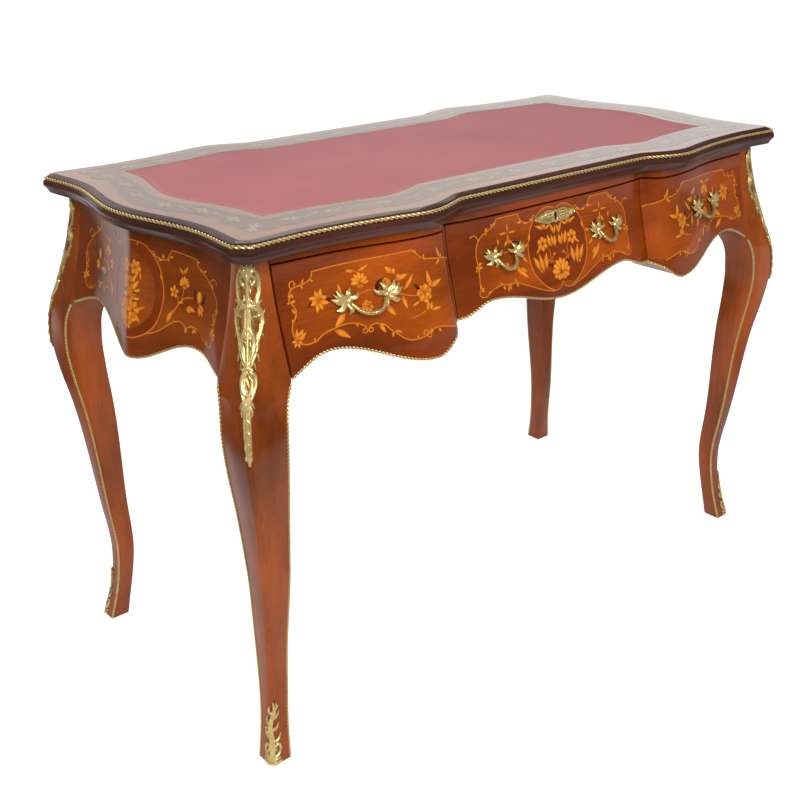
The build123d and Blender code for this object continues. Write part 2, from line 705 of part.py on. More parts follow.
sabot_widths = [(12.5, 0), (13, 12), (10.5, 30), (7.5, 50), (5, 72), (3, SABOT_HIGH)]
with BuildPart() as sabot:
    add(leg_solid(SABOT_THICK, 0, SABOT_HIGH))
    add(corner_outline(sabot_widths, SABOT_HIGH, 0), mode=Mode.INTERSECT)
    add(leg, mode=Mode.SUBTRACT)

with BuildPart() as plain_leg:
    add(leg)
    for strip in quarter_strips:
        add(strip, mode=Mode.SUBTRACT)

strips_all = []
for name, flips in (
    ("back_right", ()),
    ("back_left", (Plane.YZ,)),
    ("front_right", (Plane.XZ,)),
    ("front_left", (Plane.XZ, Plane.YZ)),
):
    pieces = [plain_leg.part, mount.part, sabot.part, *quarter_strips]
    for plane in flips:
        pieces = [piece.mirror(plane) for piece in pieces]
    finish(pieces[0], f"leg_{name}")
    finish(pieces[1], f"corner_mount_{name}")
    finish(pieces[2], f"sabot_{name}")
    strips_all += pieces[3:]
with BuildPart() as leg_rope_strips:
    for strip in strips_all:
        add(strip)
finish(leg_rope_strips.part, "leg_rope_strips")


# ---------------------------------------------------------------- drawers
def handle_at(x, below, apart, plate, front):
    """One casting: two leaf plates that lie on the front, the drop between them, and two studs."""
    z = CARCASE - below

    def face(s):
        return -front_reach(s, z)

    with BuildPart() as plates:
        add(bombe(front_reach, x - 60, x + 60, INSIDE_Y, 12, PLATE_THICK))
        with BuildSketch(Plane.XZ) as leaves:
            with Locations((x - apart, z), (x + apart, z)):
                Ellipse(*plate)
        extrude(leaves.sketch, amount=DEPTH, mode=Mode.INTERSECT)
        add(front, mode=Mode.SUBTRACT)
    turns = [(-1.0, 0.0, 2.0), (-0.72, 0.72, 0.85), (0.0, 1.0, 1.0), (0.72, 0.72, 0.85), (1.0, 0.0, 2.0)]
    route = []
    for across, drop, proud in turns:
        s = x + across * apart
        stand = proud if proud > 1.5 else proud * BAIL_PROUD
        route.append((s, face(s) - stand - BAIL_R / 2, z - drop * BAIL_DROP))
    with BuildPart() as casting:
        add(plates.part)
        with BuildLine() as path:
            Spline(*route, tangents=[(-0.3, -1, -0.6), (-0.3, 1, 0.6)])
        with BuildSketch(Plane(origin=path.line @ 0, z_dir=path.line % 0)):
            Circle(BAIL_R)
        sweep()
        for side in (-1, 1):
            s = x + side * apart
            with Locations(Location((s, face(s) - 1, z), (-90, 0, 0))):
                Cylinder(STUD_R, -face(s) + 1 - INSIDE_Y + NUT[1] + 2,
                         align=(Align.CENTER, Align.CENTER, Align.MIN))
    return casting.part


def stud_places(x, below, apart):
    return [(s, CARCASE - below) for s in (x - apart, x + apart)]


def drawer(name, s0, s1, box0, box1, handles, pieces, locked):
    """Writes one drawer: bombe front, dovetailed box of thin boards, rope strip, handles and nuts."""
    strip = apron_strip(front_reach, front_low, s0, s1, pieces)
    middle = (box0 + box1) / 2
    width = box1 - box0
    back_y = BOX_BACK - BOX_BOARD
    bottom_z = BOX_Z + 6

    with BuildPart() as bottom:
        with Locations((middle, -INSIDE_Y - GROOVE / 2, bottom_z)):
            Box(width - 2 * (BOX_BOARD - GROOVE), BOX_LONG - BOX_BOARD + GROOVE, BOX_BOTTOM,
                align=(Align.CENTER, Align.MIN, Align.MIN))
    finish(bottom.part, f"{name}_bottom")

    with BuildPart() as sides:
        with Locations((box0 + BOX_BOARD / 2, -INSIDE_Y, BOX_Z), (box1 - BOX_BOARD / 2, -INSIDE_Y, BOX_Z)):
            Box(BOX_BOARD, BOX_LONG, BOX_HIGH, align=(Align.CENTER, Align.MIN, Align.MIN))
        add(bottom.part, mode=Mode.SUBTRACT)
    finish(sides.part, f"{name}_sides")

    with BuildPart() as rear:
        with Locations((middle, back_y, BOX_Z)):
            Box(width - 2 * BOX_BOARD, BOX_BOARD, BOX_HIGH - 8, align=(Align.CENTER, Align.MIN, Align.MIN))
        add(bottom.part, mode=Mode.SUBTRACT)
    finish(rear.part, f"{name}_back")

    with BuildPart() as front:
        add(apron_board(front_reach, front_low, s0, s1, INSIDE_Y, pieces, FRONT_TOP, strip))
        add(bottom.part, mode=Mode.SUBTRACT)
        for handle in handles:
            with Locations([Location((s, -DEPTH, z), (-90, 0, 0)) for s, z in stud_places(*handle)]):
                Cylinder(STUD_R + STUD_HOLE_PLAY, DEPTH, align=(Align.CENTER, Align.CENTER, Align.MIN),
                         mode=Mode.SUBTRACT)
        if locked:
            with Locations((0, -INSIDE_Y, FRONT_TOP)):
                Box(LOCK[0] + 2 * LOCK_PLAY, LOCK[1] * 2, LOCK[2] * 2, mode=Mode.SUBTRACT)
            with BuildSketch(Plane.XZ.offset(INSIDE_Y)):
                add(keyhole())
            extrude(amount=DEPTH, mode=Mode.SUBTRACT)
    finish(front.part, f"{name}_front")
    finish(strip, f"{name}_rope_strip")

    with BuildPart() as nuts:
        for handle in handles:
            with Locations([Location((s, -INSIDE_Y, z), (-90, 0, 0)) for s, z in stud_places(*handle)]):
                Cylinder(NUT[0], NUT[1], align=(Align.CENTER, Align.CENTER, Align.MIN))
                Cylinder(STUD_R, NUT[1], align=(Align.CENTER, Align.CENTER, Align.MIN), mode=Mode.SUBTRACT)
    finish(nuts.part, f"{name}_handle_nuts")
    return front.part


KEY_Z = CARCASE - SCUTCHEON_BELOW


def keyhole():
    """Round hole with a slot under it."""
    with BuildSketch() as hole:
        with Locations((0, KEY_Z)):
            Circle(KEYHOLE_R)
            Rectangle(KEY_SLOT[0], KEY_SLOT[1], align=(Align.CENTER, Align.MAX))
    return hole.sketch


BOX_SIDE_IN = PART_OUT + SIDE_PLAY
BOX_SIDE_OUT = LINING_IN - SIDE_PLAY
BOX_CENTRE = PART_IN - SIDE_PLAY
SIDE_SET = (SIDE_HANDLE_BELOW, SIDE_SPREAD)
CENTRE_SET = (CENTRE_HANDLE_BELOW, CENTRE_SPREAD)
left_front = drawer("drawer_left", -SIDE_OUT, -SIDE_IN, -BOX_SIDE_OUT, -BOX_SIDE_IN,
                    [(-SIDE_HANDLE_X, *SIDE_SET)], 18, False)
centre_front = drawer("drawer_centre", -(CENTRE_HALF - GAP / 2), CENTRE_HALF - GAP / 2, -BOX_CENTRE, BOX_CENTRE,
                      [(-CENTRE_HANDLE_X, *CENTRE_SET), (CENTRE_HANDLE_X, *CENTRE_SET)], 20, True)
drawer("drawer_right", SIDE_IN, SIDE_OUT, BOX_SIDE_IN, BOX_SIDE_OUT, [(SIDE_HANDLE_X, *SIDE_SET)], 18, False)

for name, opposite, x, (below, apart), plate, front in (
    ("handle_left", "handle_right", -SIDE_HANDLE_X, SIDE_SET, SIDE_PLATE, left_front),
    ("handle_centre_left", "handle_centre_right", -CENTRE_HANDLE_X, CENTRE_SET, CENTRE_PLATE, centre_front),
):
    handle = handle_at(x, below, apart, plate, front)
    finish(handle, name)
    finish(handle.mirror(Plane.YZ), opposite)

with BuildPart() as escutcheon:
    add(bombe(front_reach, -60, 60, INSIDE_Y, 6, SCUTCHEON_THICK))
    with BuildSketch(Plane.XZ) as shield:
        with Locations((0, CARCASE - SCUTCHEON_BELOW)):
            Ellipse(*SCUTCHEON_HALF)
        add(keyhole(), mode=Mode.SUBTRACT)
    extrude(shield.sketch, amount=DEPTH, mode=Mode.INTERSECT)
    add(centre_front, mode=Mode.SUBTRACT)
    with Locations((0, LOCK_Y, FRONT_TOP)):
        Box(LOCK[0] + 2, LOCK[1] + 6, LOCK[2] * 2, mode=Mode.SUBTRACT)
finish(escutcheon.part, "escutcheon")

# ---------------------------------------------------------------- lock
LOCK_TOP = FRONT_TOP
BOLT_TOP = LOCK_TOP - 0.5
with BuildPart() as lock_body:
    with Locations((0, LOCK_Y, LOCK_TOP)):
        Box(LOCK[0], LOCK[1], LOCK[2], align=(Align.CENTER, Align.CENTER, Align.MAX))
        Box(BOLT[0] + 2 * BOLT_PLAY, BOLT[1] + 2 * BOLT_PLAY, 0.5 + BOLT[2] + BOLT_PLAY,
            align=(Align.CENTER, Align.CENTER, Align.MAX), mode=Mode.SUBTRACT)
    with BuildSketch(Plane.XZ.offset(-LOCK_Y)):
        add(keyhole())
    extrude(amount=LOCK[1], mode=Mode.SUBTRACT)
finish(lock_body.part, "lock_body")

with BuildPart() as lock_bolt:
    with Locations((0, LOCK_Y, BOLT_TOP)):
        Box(*BOLT, align=(Align.CENTER, Align.CENTER, Align.MAX))
    chamfer(lock_bolt.edges().group_by(Axis.Z)[-1], length=0.8)
finish(lock_bolt.part, "lock_bolt")
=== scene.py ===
import bpy
import json
import numpy as np
from math import pi, radians
from mathutils import Matrix

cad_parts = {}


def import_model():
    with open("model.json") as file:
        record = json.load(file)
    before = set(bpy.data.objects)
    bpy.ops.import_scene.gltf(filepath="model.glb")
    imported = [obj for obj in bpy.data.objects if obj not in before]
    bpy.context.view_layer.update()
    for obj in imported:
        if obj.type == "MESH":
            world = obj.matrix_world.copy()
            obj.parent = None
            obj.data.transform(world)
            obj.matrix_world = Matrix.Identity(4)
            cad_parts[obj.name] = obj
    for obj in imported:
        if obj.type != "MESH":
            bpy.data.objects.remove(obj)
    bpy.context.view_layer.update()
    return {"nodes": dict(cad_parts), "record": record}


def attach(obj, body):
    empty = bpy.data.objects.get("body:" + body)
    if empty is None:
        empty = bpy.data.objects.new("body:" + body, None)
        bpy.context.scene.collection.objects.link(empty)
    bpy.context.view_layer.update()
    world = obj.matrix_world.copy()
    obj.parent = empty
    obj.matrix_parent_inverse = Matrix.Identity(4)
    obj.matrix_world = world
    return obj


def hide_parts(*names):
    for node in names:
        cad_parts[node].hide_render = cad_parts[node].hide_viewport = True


# Writing table with three drawers. Shapes are worked out in millimetres and put into metres as
# each mesh is made. +Z is up, the drawers face -Y, the origin is on the floor under the top.

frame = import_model()
scene = bpy.context.scene
scene.view_settings.view_transform = "Standard"

# ---------------------------------------------------------------- sizes, as the construction has them
LENGTH, DEPTH, HEIGHT = 1157.0, 590.0, 780.0
PANEL_THICK = 22.0
MOULD_DROP = 6.0
MOULD_WIDTH = 17.0
CORNER_CLIP = 19.0
CORNER_BLOCK = 25.0
FRONT_SWELL, END_SWELL = 26.0, 25.0
FRONT_FLARE, END_FLARE = 7.0, 5.5
LEATHER_HALF_X, LEATHER_HALF_Y = 459.0, 181.0
LEATHER_SWELL, LEATHER_BOW, LEATHER_BELL, LEATHER_BACK = 24.0, 30.0, 150.0, 6.0
LEATHER_THICK = 1.6
LEATHER_LOW = 0.35              # the leather lies this far under the top
BEAD_INSET, BEAD_Z, BEAD_R, BEAD_LAY = 4.5, 774.0, 2.6, 7.6
STRIP_R, LEG_STRIP_R, STRIP_LAY = 2.15, 2.0, 5.6
STRIP_LOW, STRIP_SUNK = 0.1, 0.7
BOARD_CLEAR = 0.6               # the boards stop this far above their rope strips
FRONT_OVERHANG, END_OVERHANG = 29.0, 25.5
END_CREST = 28.0
SIDE_SWELL = 32.0
CENTRE_STAND, CENTRE_BOW = 6.5, 10.0
APRON_BELLY, END_BELLY = 34.0, 26.0
BELLY_HEIGHT = 192.0
CENTRE_HALF = 210.0
STILE = 33.0
RAIL_HIGH = 19.0
TOP_GAP, GAP = 3.0, 2.0
FRONT_INSIDE, END_THICK = 24.0, 24.0
KNEE_BELOW, POST_BELOW = 233.0, 163.0
FOOT_IN = 11.0
ARRIS = 7.0
EDGE_R = 1.2
SIDE_HANDLE_X, SIDE_HANDLE_BELOW, SIDE_SPREAD = 366.0, 84.0, 27.0
CENTRE_HANDLE_X, CENTRE_HANDLE_BELOW, CENTRE_SPREAD = 111.0, 77.0, 20.0
CENTRE_PLATE_SIZE = 0.85        # leaf plates of the centre drawer against those of the side drawers
BAIL_DROP, BAIL_PROUD = 18.0, 17.0
SCUTCHEON_BELOW = 41.0
LOCK_HALF, LOCK_DEEP, LOCK_HIGH = 30.25, 15.0, 44.0
POCKET = (26.0, 9.0, 9.0)       # for the bolt, in the rail
SLIP = 0.05                     # width of the steep walls at the ends of a cut

CARCASE = HEIGHT - PANEL_THICK
BELLY_TOP = CARCASE - MOULD_DROP
FLAT_Y = DEPTH / 2 - FRONT_SWELL - FRONT_OVERHANG
FLAT_X = LENGTH / 2 - END_SWELL - END_OVERHANG
POST_X = FLAT_X - STILE
INSIDE_Y = FLAT_Y - FRONT_INSIDE
INSIDE_X = FLAT_X - END_THICK
POST_Z = CARCASE - POST_BELOW
KNEE_Z = CARCASE - KNEE_BELOW
RAIL_Z = CARCASE - RAIL_HIGH
FRONT_TOP = RAIL_Z - TOP_GAP
SIDE_SPAN = POST_X - CENTRE_HALF
CORNER_X = LENGTH / 2 - END_SWELL + END_FLARE
CORNER_Y = DEPTH / 2 - FRONT_SWELL + FRONT_FLARE
BLOCK_X0, BLOCK_Y0 = CORNER_X - CORNER_BLOCK, CORNER_Y - CORNER_BLOCK
END_REACH = 0.83 * (FLAT_Y - STILE)
SIDE_IN, SIDE_OUT = CENTRE_HALF + GAP / 2, POST_X - GAP
TOP_Z = HEIGHT - 0.2            # the top's veneer, whose inlay ends level with the moulding
INLAY = 0.16                    # inlay stands this far off the surface it is laid in
FIELD, BAND = 0.07, 0.10        # and the lighter fields and darker bands under it this far
LEVELS, LEVEL_STEP = 12, 0.003  # overlapping inlays lie at so many heights, this far apart
TOP_LIFT = 0.19                 # nothing laid in the top stands further off its veneer


# ---------------------------------------------------------------- curves
def smooth(t):
    """Runs from 0 to 1 with a level start and a level end."""
    t = np.clip(t, 0.0, 1.0)
    return t * t * (3 - 2 * t)


def through(points):
    """Cubic pieces through the points that share their slopes, for arrays."""
    s, v = np.array(points, float).T
    h = np.diff(s)
    rise = np.diff(v) / h
    inner = (rise[:-1] * h[1:] + rise[1:] * h[:-1]) / (h[:-1] + h[1:])
    slope = np.concatenate([rise[:1], inner, rise[-1:]])

    def value(x):
        x = np.clip(x, s[0], s[-1])
        i = np.clip(np.searchsorted(s, x, side="right") - 1, 0, len(h) - 1)
        t = (x - s[i]) / h[i]
        start = (1 + 2 * t) * (1 - t) ** 2 * v[i] + t * (1 - t) ** 2 * h[i] * slope[i]
        return start + t * t * (3 - 2 * t) * v[i + 1] - t * t * (1 - t) * h[i] * slope[i + 1]

    return value


def wave(turns, s):
    """Swings by half cosines from one turning point to the next."""
    at, height = np.array(turns, float).T
    s = np.clip(s, at[0], at[-1])
    i = np.clip(np.searchsorted(at, s, side="right") - 1, 0, len(at) - 2)
    t = (s - at[i]) / (at[i + 1] - at[i])
    return height[i] + (height[i + 1] - height[i]) * (1 - np.cos(pi * t)) / 2


def lengths(points):
    """Length of each stretch between neighbouring points."""
    return np.linalg.norm(np.diff(points, axis=0), axis=1)


def run_along(points):
    """Length of the way from the first point to each of the points."""
    return np.concatenate([[0], np.cumsum(lengths(points))])


def heading_of(line):
    """Unit direction of a line at each of its points."""
    ahead = np.gradient(line, axis=0)
    return ahead / np.linalg.norm(ahead, axis=1)[:, None]


def across(ahead, ref):
    """Two directions square to the way ahead, the first square to ref as well."""
    one = np.cross(ahead, ref)
    one /= np.linalg.norm(one, axis=1)[:, None]
    return one, np.cross(ahead, one)


def curve(points, count):
    """Even steps along a smooth line through points of any dimension: each coordinate against length."""
    points = np.array(points, float)
    run = run_along(points)
    t = np.linspace(0, run[-1], count)
    return np.stack([through(np.stack([run, column], -1))(t) for column in points.T], -1)


# ---------------------------------------------------------------- the shapes that everything follows
top_plan = through([
    (-0.105, 0.0), (-0.035, 0.09), (0.035, 0.43), (0.105, 0.75), (0.175, 0.96), (0.218, 1.0), (0.316, 0.86),
    (0.386, 0.68), (0.456, 0.54), (0.526, 0.41), (0.667, 0.23), (0.807, 0.125), (0.947, 0.07), (1.05, 0.0)])


def swell(x):
    """Plan swell of the top's long sides, 0 to 1."""
    return top_plan((np.abs(x) - CENTRE_HALF) / SIDE_SPAN)


def end_swell(y):
    """Plan swell of the top's short sides, 0 to 1."""
    return np.where(np.abs(y) < END_REACH, np.cos(pi * y / (2 * END_REACH)) ** 2, 0.0)


end_keel = through([
    (0.0, 1.0), (0.04, 0.975), (0.1, 0.89), (0.2, 0.735), (0.35, 0.51), (0.5, 0.315), (0.7, 0.12),
    (0.85, 0.035), (1.0, 0.0)])


def top_front(x):
    """Half depth of the moulding's widest line at x."""
    start = POST_X - 40
    return DEPTH / 2 - FRONT_SWELL * (1 - swell(x)) + FRONT_FLARE * smooth((np.abs(x) - start) / 80)


def top_end(y):
    """Half length of the moulding's widest line at y."""
    start = FLAT_Y - 60
    return LENGTH / 2 - END_SWELL * (1 - end_swell(y)) + END_FLARE * smooth((np.abs(y) - start) / 75)


def belly(z):
    """How far the fronts stand out at height z: a quarter sine squared from the moulding down."""
    return APRON_BELLY * np.sin(pi / 2 * np.clip((BELLY_TOP - z) / BELLY_HEIGHT, 0, 1)) ** 2


side_plan = through([(at, share * SIDE_SWELL) for at, share in ((0.0, CENTRE_STAND / SIDE_SWELL),
                                                                (0.021, 0.28), (0.049, 0.59), (0.077, 0.84),
                                                                (0.123, 0.97), (0.204, 1.0), (0.316, 0.905),
                                                                (0.456, 0.64), (0.561, 0.42),
                                                                (0.667, 0.265), (0.807, 0.17),
                                                                (1.0, 0.06))])


def front_reach(x, z):
    """Face of the fronts: the belly, a bowed centre drawer and a steep step to the side drawers."""
    centre = CENTRE_STAND + CENTRE_BOW * (1 - (x / CENTRE_HALF) ** 4)
    side = side_plan((np.abs(x) - CENTRE_HALF) / SIDE_SPAN)
    return FLAT_Y + belly(z) + np.where(np.abs(x) < CENTRE_HALF, centre, side)


def end_reach(y, z):
    """Face of the ends: a flatter belly that turns into the legs' own, and a keel down the middle."""
    share = smooth((np.abs(y) / POST_Y - 0.72) / 0.28)
    lean = (END_BELLY + (APRON_BELLY - END_BELLY) * share) / APRON_BELLY
    return FLAT_X + belly(z) * lean + END_CREST * end_keel(np.abs(y) / END_REACH)


def front_low(x):
    """Lower edge of the front and back."""
    return wave([
        (0.0, CARCASE - 159), (CENTRE_HALF * 0.68, CARCASE - 134.5), (CENTRE_HALF * 0.97, CARCASE - 150),
        (CENTRE_HALF + 0.22 * SIDE_SPAN, CARCASE - 181), (CENTRE_HALF + 0.775 * SIDE_SPAN, CARCASE - 139),
        (CENTRE_HALF + 1.12 * SIDE_SPAN, CARCASE - 172)], np.abs(x))


def end_low(y):
    """Lower edge of the ends."""
    return wave([(0.0, CARCASE - 186), (0.66 * POST_Y, CARCASE - 144), (1.2 * POST_Y, CARCASE - 171)],
                np.abs(y))


leg_stand = through([
    (0, 38), (0.114 * KNEE_Z, 24.5), (0.257 * KNEE_Z, 17), (0.438 * KNEE_Z, 21),
    (0.61 * KNEE_Z, 25.5), (0.781 * KNEE_Z, 34), (0.895 * KNEE_Z, 43), (KNEE_Z, 47),
    (CARCASE - 188, 42), (CARCASE - 138, 27), (CARCASE - 68, 9), (BELLY_TOP, 0), (CARCASE, 0),
])
POST_Y = FLAT_Y + float(leg_stand(POST_Z)) - (FLAT_X + float(leg_stand(POST_Z)) - POST_X)
leg_thick = through([
    (0, 33), (0.095 * KNEE_Z, 29), (0.257 * KNEE_Z, 30.5), (0.438 * KNEE_Z, 36),
    (0.61 * KNEE_Z, 43), (0.781 * KNEE_Z, 51), (0.895 * KNEE_Z, 57.5), (KNEE_Z, 61.5),
    (POST_Z - 24, 63), (POST_Z, FLAT_X + float(leg_stand(POST_Z)) - POST_X),
])


def leg_x(z):
    """Outer face of a right leg at height z."""
    return FLAT_X + leg_stand(z)


def leg_y(z):
    """Outer face of a back leg at height z; the foot steps in."""
    return FLAT_Y + leg_stand(z) - FOOT_IN * smooth((0.61 * KNEE_Z - z) / (0.36 * KNEE_Z))


# Each side of the table: s runs to the right as one looks at it, out is away from the middle.
def at_front(s, out, z):
    return np.stack(np.broadcast_arrays(s, -out, z), -1)


def at_back(s, out, z):
    return np.stack(np.broadcast_arrays(-s, out, z), -1)


def at_left(s, out, z):
    return np.stack(np.broadcast_arrays(-out, -s, z), -1)


def at_right(s, out, z):
    return np.stack(np.broadcast_arrays(out, s, z), -1)


def outward(side):
    """Direction away from the table's middle on one of its sides."""
    return side(0, 1, 0) - side(0, 0, 0)


# ---------------------------------------------------------------- meshes
def quads(rows, cols, wrap_rows=False, wrap_cols=False):
    """Corner numbers of the faces of a grid of points, row by row."""
    i, j = np.meshgrid(np.arange(rows - (not wrap_rows)), np.arange(cols - (not wrap_cols)), indexing="ij")
    row, col = (i + 1) % rows, (j + 1) % cols
    return np.stack([i * cols + j, row * cols + j, row * cols + col, i * cols + col], -1).reshape(-1, 4)


def turned(points, faces, outward):
    """The faces, all turned over if on the whole they look away from outward."""
    normal = np.cross(points[faces[:, 2]] - points[faces[:, 0]], points[faces[:, 3]] - points[faces[:, 1]])
    return faces[:, ::-1] if (normal * outward).sum() < 0 else faces


class Shape:
    """Collects surfaces and becomes one object: points in millimetres, faces, and a tone per point."""

    def __init__(self):
        self.points, self.loops, self.sizes, self.tones = [], [], [], []
        self.count = 0

    def add(self, points, faces, tone=0.5):
        """Takes points and blocks of faces that count from the first of these points."""
        points = points.reshape(-1, 3)
        for block in faces:
            self.loops.append((block + self.count).ravel())
            self.sizes.append(np.full(len(block), block.shape[1]))
        self.tones.append(np.broadcast_to(np.ravel(tone), len(points)).astype(float))
        self.points.append(points)
        self.count += len(points)

    def solid(self, grid, wrap_cols=False, tone=0.5):
        """Rows close on themselves; the first and last column are closed by caps, or columns wrap too."""
        rows, cols = grid.shape[:2]
        faces = [quads(rows, cols, True, wrap_cols)]
        if not wrap_cols:
            ring = np.arange(rows) * cols
            faces += [ring[None, ::-1], (ring + cols - 1)[None]]
        flat = grid.reshape(-1, 3)
        a, b, c, d = (flat[faces[0][:, k]] for k in range(4))
        volume = (np.cross(a, b) * c).sum() + (np.cross(a, c) * d).sum()
        for face in faces[1:]:
            p = flat[face[0]]
            volume += (np.cross(p[1:-1], p[2:]) * p[0]).sum()
        if volume < 0:
            faces = [block[:, ::-1] for block in faces]
        self.add(grid, faces, tone)

    def sheet(self, grid, outward, tone=0.5):
        """An open surface that faces outward."""
        self.add(grid, [turned(grid.reshape(-1, 3), quads(*grid.shape[:2]), outward)], tone)

    def make(self, name, body, material, slot, nodes=(), sharp=35):
        """Makes the object, puts it on its body and hides the nodes it stands for."""
        points = np.concatenate(self.points) / 1000
        loops = np.concatenate(self.loops).astype(np.int32)
        sizes = np.concatenate(self.sizes).astype(np.int32)
        mesh = bpy.data.meshes.new(name)
        mesh.vertices.add(len(points))
        mesh.vertices.foreach_set("co", points.ravel())
        mesh.loops.add(len(loops))
        mesh.loops.foreach_set("vertex_index", loops)
        mesh.polygons.add(len(sizes))
        starts = np.concatenate([[0], np.cumsum(sizes)[:-1]]).astype(np.int32)
        mesh.polygons.foreach_set("loop_start", starts)
        mesh.polygons.foreach_set("loop_total", sizes)
        mesh.update(calc_edges=True)
        mesh.validate()
        tone = mesh.attributes.new("tone", "FLOAT", "POINT")
        tone.data.foreach_set("value", np.concatenate(self.tones))
        mesh.polygons.foreach_set("use_smooth", np.ones(len(mesh.polygons), bool))
        mesh.set_sharp_from_angle(angle=radians(sharp))
        mesh.materials.append(material)
        piece = bpy.data.objects.new(name, mesh)
        scene.collection.objects.link(piece)
        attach(piece, body)
        if nodes:
            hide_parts(*nodes)
        return piece


# ---------------------------------------------------------------- materials
def new_material(name):
    """A material, its tree and its shader."""
    material = bpy.data.materials.new(name)
    material.use_nodes = True
    tree = material.node_tree
    return material, tree, tree.nodes["Principled BSDF"]


def node(tree, kind, **values):
    """A node with its settings and the values of its inputs."""
    made = tree.nodes.new(kind)
    for key, value in values.items():
        if hasattr(made, key):
            setattr(made, key, value)
        else:
            made.inputs[key.replace("_", " ")].default_value = value
    return made


def ramp(tree, source, *stops):
    """A colour ramp through (place, colour) stops, fed by source."""
    made = tree.nodes.new("ShaderNodeValToRGB")
    band = made.color_ramp
    while len(band.elements) < len(stops):
        band.elements.new(0.5)
    for element, (place, colour) in zip(band.elements, stops):
        element.position = place
        element.color = (*colour, 1)
    tree.links.new(source, made.inputs[0])
    return made.outputs[0]


def noise(tree, stretch, scale, detail, roughness=0.55, turn=(0, 0, 0)):
    """Noise on object coordinates, drawn out by the stretch along each axis."""
    place = node(tree, "ShaderNodeTexCoord")
    mapping = node(tree, "ShaderNodeMapping")
    mapping.inputs["Scale"].default_value = stretch
    mapping.inputs["Rotation"].default_value = turn
    made = node(tree, "ShaderNodeTexNoise", Scale=scale, Detail=detail, Roughness=roughness)
    tree.links.new(place.outputs["Object"], mapping.inputs["Vector"])
    tree.links.new(mapping.outputs["Vector"], made.inputs["Vector"])
    return made.outputs["Fac"]


def mix(tree, kind, factor, one, two):
    """Blends two colours; each of the three may be a value or another node's output."""
    made = node(tree, "ShaderNodeMix", data_type="RGBA", blend_type=kind)
    for socket, value in ((made.inputs[0], factor), (made.inputs[6], one), (made.inputs[7], two)):
        if isinstance(value, (int, float)):
            socket.default_value = value
        elif isinstance(value, tuple):
            socket.default_value = (*value, 1)
        else:
            tree.links.new(value, socket)
    return made.outputs[2]


def bump(tree, shader, height, strength, distance):
    """Raises the surface's fine relief by the height output."""
    made = node(tree, "ShaderNodeBump", Strength=strength, Distance=distance)
    tree.links.new(height, made.inputs["Height"])
    tree.links.new(made.outputs["Normal"], shader.inputs["Normal"])


def lacquer(shader, coat):
    """A clear polish over dull wood."""
    shader.inputs["Roughness"].default_value = 0.32
    shader.inputs["Coat Weight"].default_value = coat
    shader.inputs["Coat Roughness"].default_value = 0.05
    shader.inputs["Specular IOR Level"].default_value = 0.12
    shader.inputs["Coat IOR"].default_value = 1.5


def veneer(name, mid, along, coat=0.5, contrast=1.0):
    """Polished red-brown veneer: clouded figure, fine grain and short dark pores along one axis."""
    material, tree, shader = new_material(name)
    across = tuple(0.3 if k == along else 1.0 for k in range(3))
    fine = tuple(0.03 if k == along else 1.0 for k in range(3))
    figure = noise(tree, across, 11.0, 5.0, turn=(0.3, 0.5, 0.4))
    grain = noise(tree, fine, 420.0, 3.0, 0.6)
    cloud = noise(tree, (1, 1, 1), 5.0, 2.0, 0.5)
    dark = tuple(c * (1 - 0.36 * contrast) for c in mid)
    light = tuple(c * (1 + 0.34 * contrast) for c in mid)
    base = ramp(tree, figure, (0.32, dark), (0.5, mid), (0.68, light))
    streak = ramp(tree, grain, (0.33, (0.55, 0.5, 0.48)), (0.55, (1, 1, 1)))
    patch = ramp(tree, cloud, (0.3, (0.84, 0.80, 0.78)), (0.7, (1.14, 1.12, 1.1)))
    colour = mix(tree, "MULTIPLY", 0.4, base, streak)
    colour = mix(tree, "MULTIPLY", 1.0, colour, patch)
    tree.links.new(colour, shader.inputs["Base Color"])
    lacquer(shader, coat)
    bump(tree, shader, grain, 0.03, 0.0002)
    return material


def inlay_wood(name, stops, coat):
    """Inlaid flowers and strings: the tone of each point runs from scorched edge to pale wood."""
    material, tree, shader = new_material(name)
    tone = node(tree, "ShaderNodeAttribute", attribute_name="tone")
    grain = noise(tree, (1.0, 1.0, 0.15), 300.0, 3.0, 0.6)
    base = ramp(tree, tone.outputs["Fac"], *stops)
    streak = ramp(tree, grain, (0.3, (0.78, 0.74, 0.7)), (0.6, (1, 1, 1)))
    tree.links.new(mix(tree, "MULTIPLY", 0.8, base, streak), shader.inputs["Base Color"])
    lacquer(shader, coat)
    return material


def brass(name, colour, rough, dull):
    """Cast brass: browner and rougher in places by its own mottling, and painted shade by the tone of each
    point, dark in the hollows and bright on what stands out.
    """
    material, tree, shader = new_material(name)
    shader.inputs["Metallic"].default_value = 0.62
    mottle = noise(tree, (1, 1, 1), 160.0, 4.0, 0.6)
    tone = node(tree, "ShaderNodeAttribute", attribute_name="tone")
    base = ramp(tree, mottle, (0.3, dull), (0.62, colour))
    # painted shade: a low tone, given to hollows, grooves and undersides, darkens the brass
    depth = ramp(tree, tone.outputs["Fac"],
                 (0.0, (0.10, 0.065, 0.025)), (0.42, (0.46, 0.40, 0.28)), (0.82, (1, 1, 1)))
    tree.links.new(mix(tree, "MULTIPLY", 1.0, base, depth), shader.inputs["Base Color"])
    gloss = ramp(tree, mottle, (0.3, (rough + 0.15,) * 3), (0.7, (rough,) * 3))
    tree.links.new(gloss, shader.inputs["Roughness"])
    bump(tree, shader, mottle, 0.25, 0.0003)
    return material


def plain_metal(name, colour, rough):
    """Turned or forged metal with worn and dull places."""
    material, tree, shader = new_material(name)
    shader.inputs["Metallic"].default_value = 1.0
    wear = noise(tree, (1, 1, 1), 90.0, 4.0, 0.6)
    tree.links.new(ramp(tree, wear, (0.3, tuple(0.6 * c for c in colour)), (0.7, colour)),
                   shader.inputs["Base Color"])
    tree.links.new(ramp(tree, wear, (0.3, (rough + 0.2,) * 3), (0.7, (rough,) * 3)),
                   shader.inputs["Roughness"])
    return material


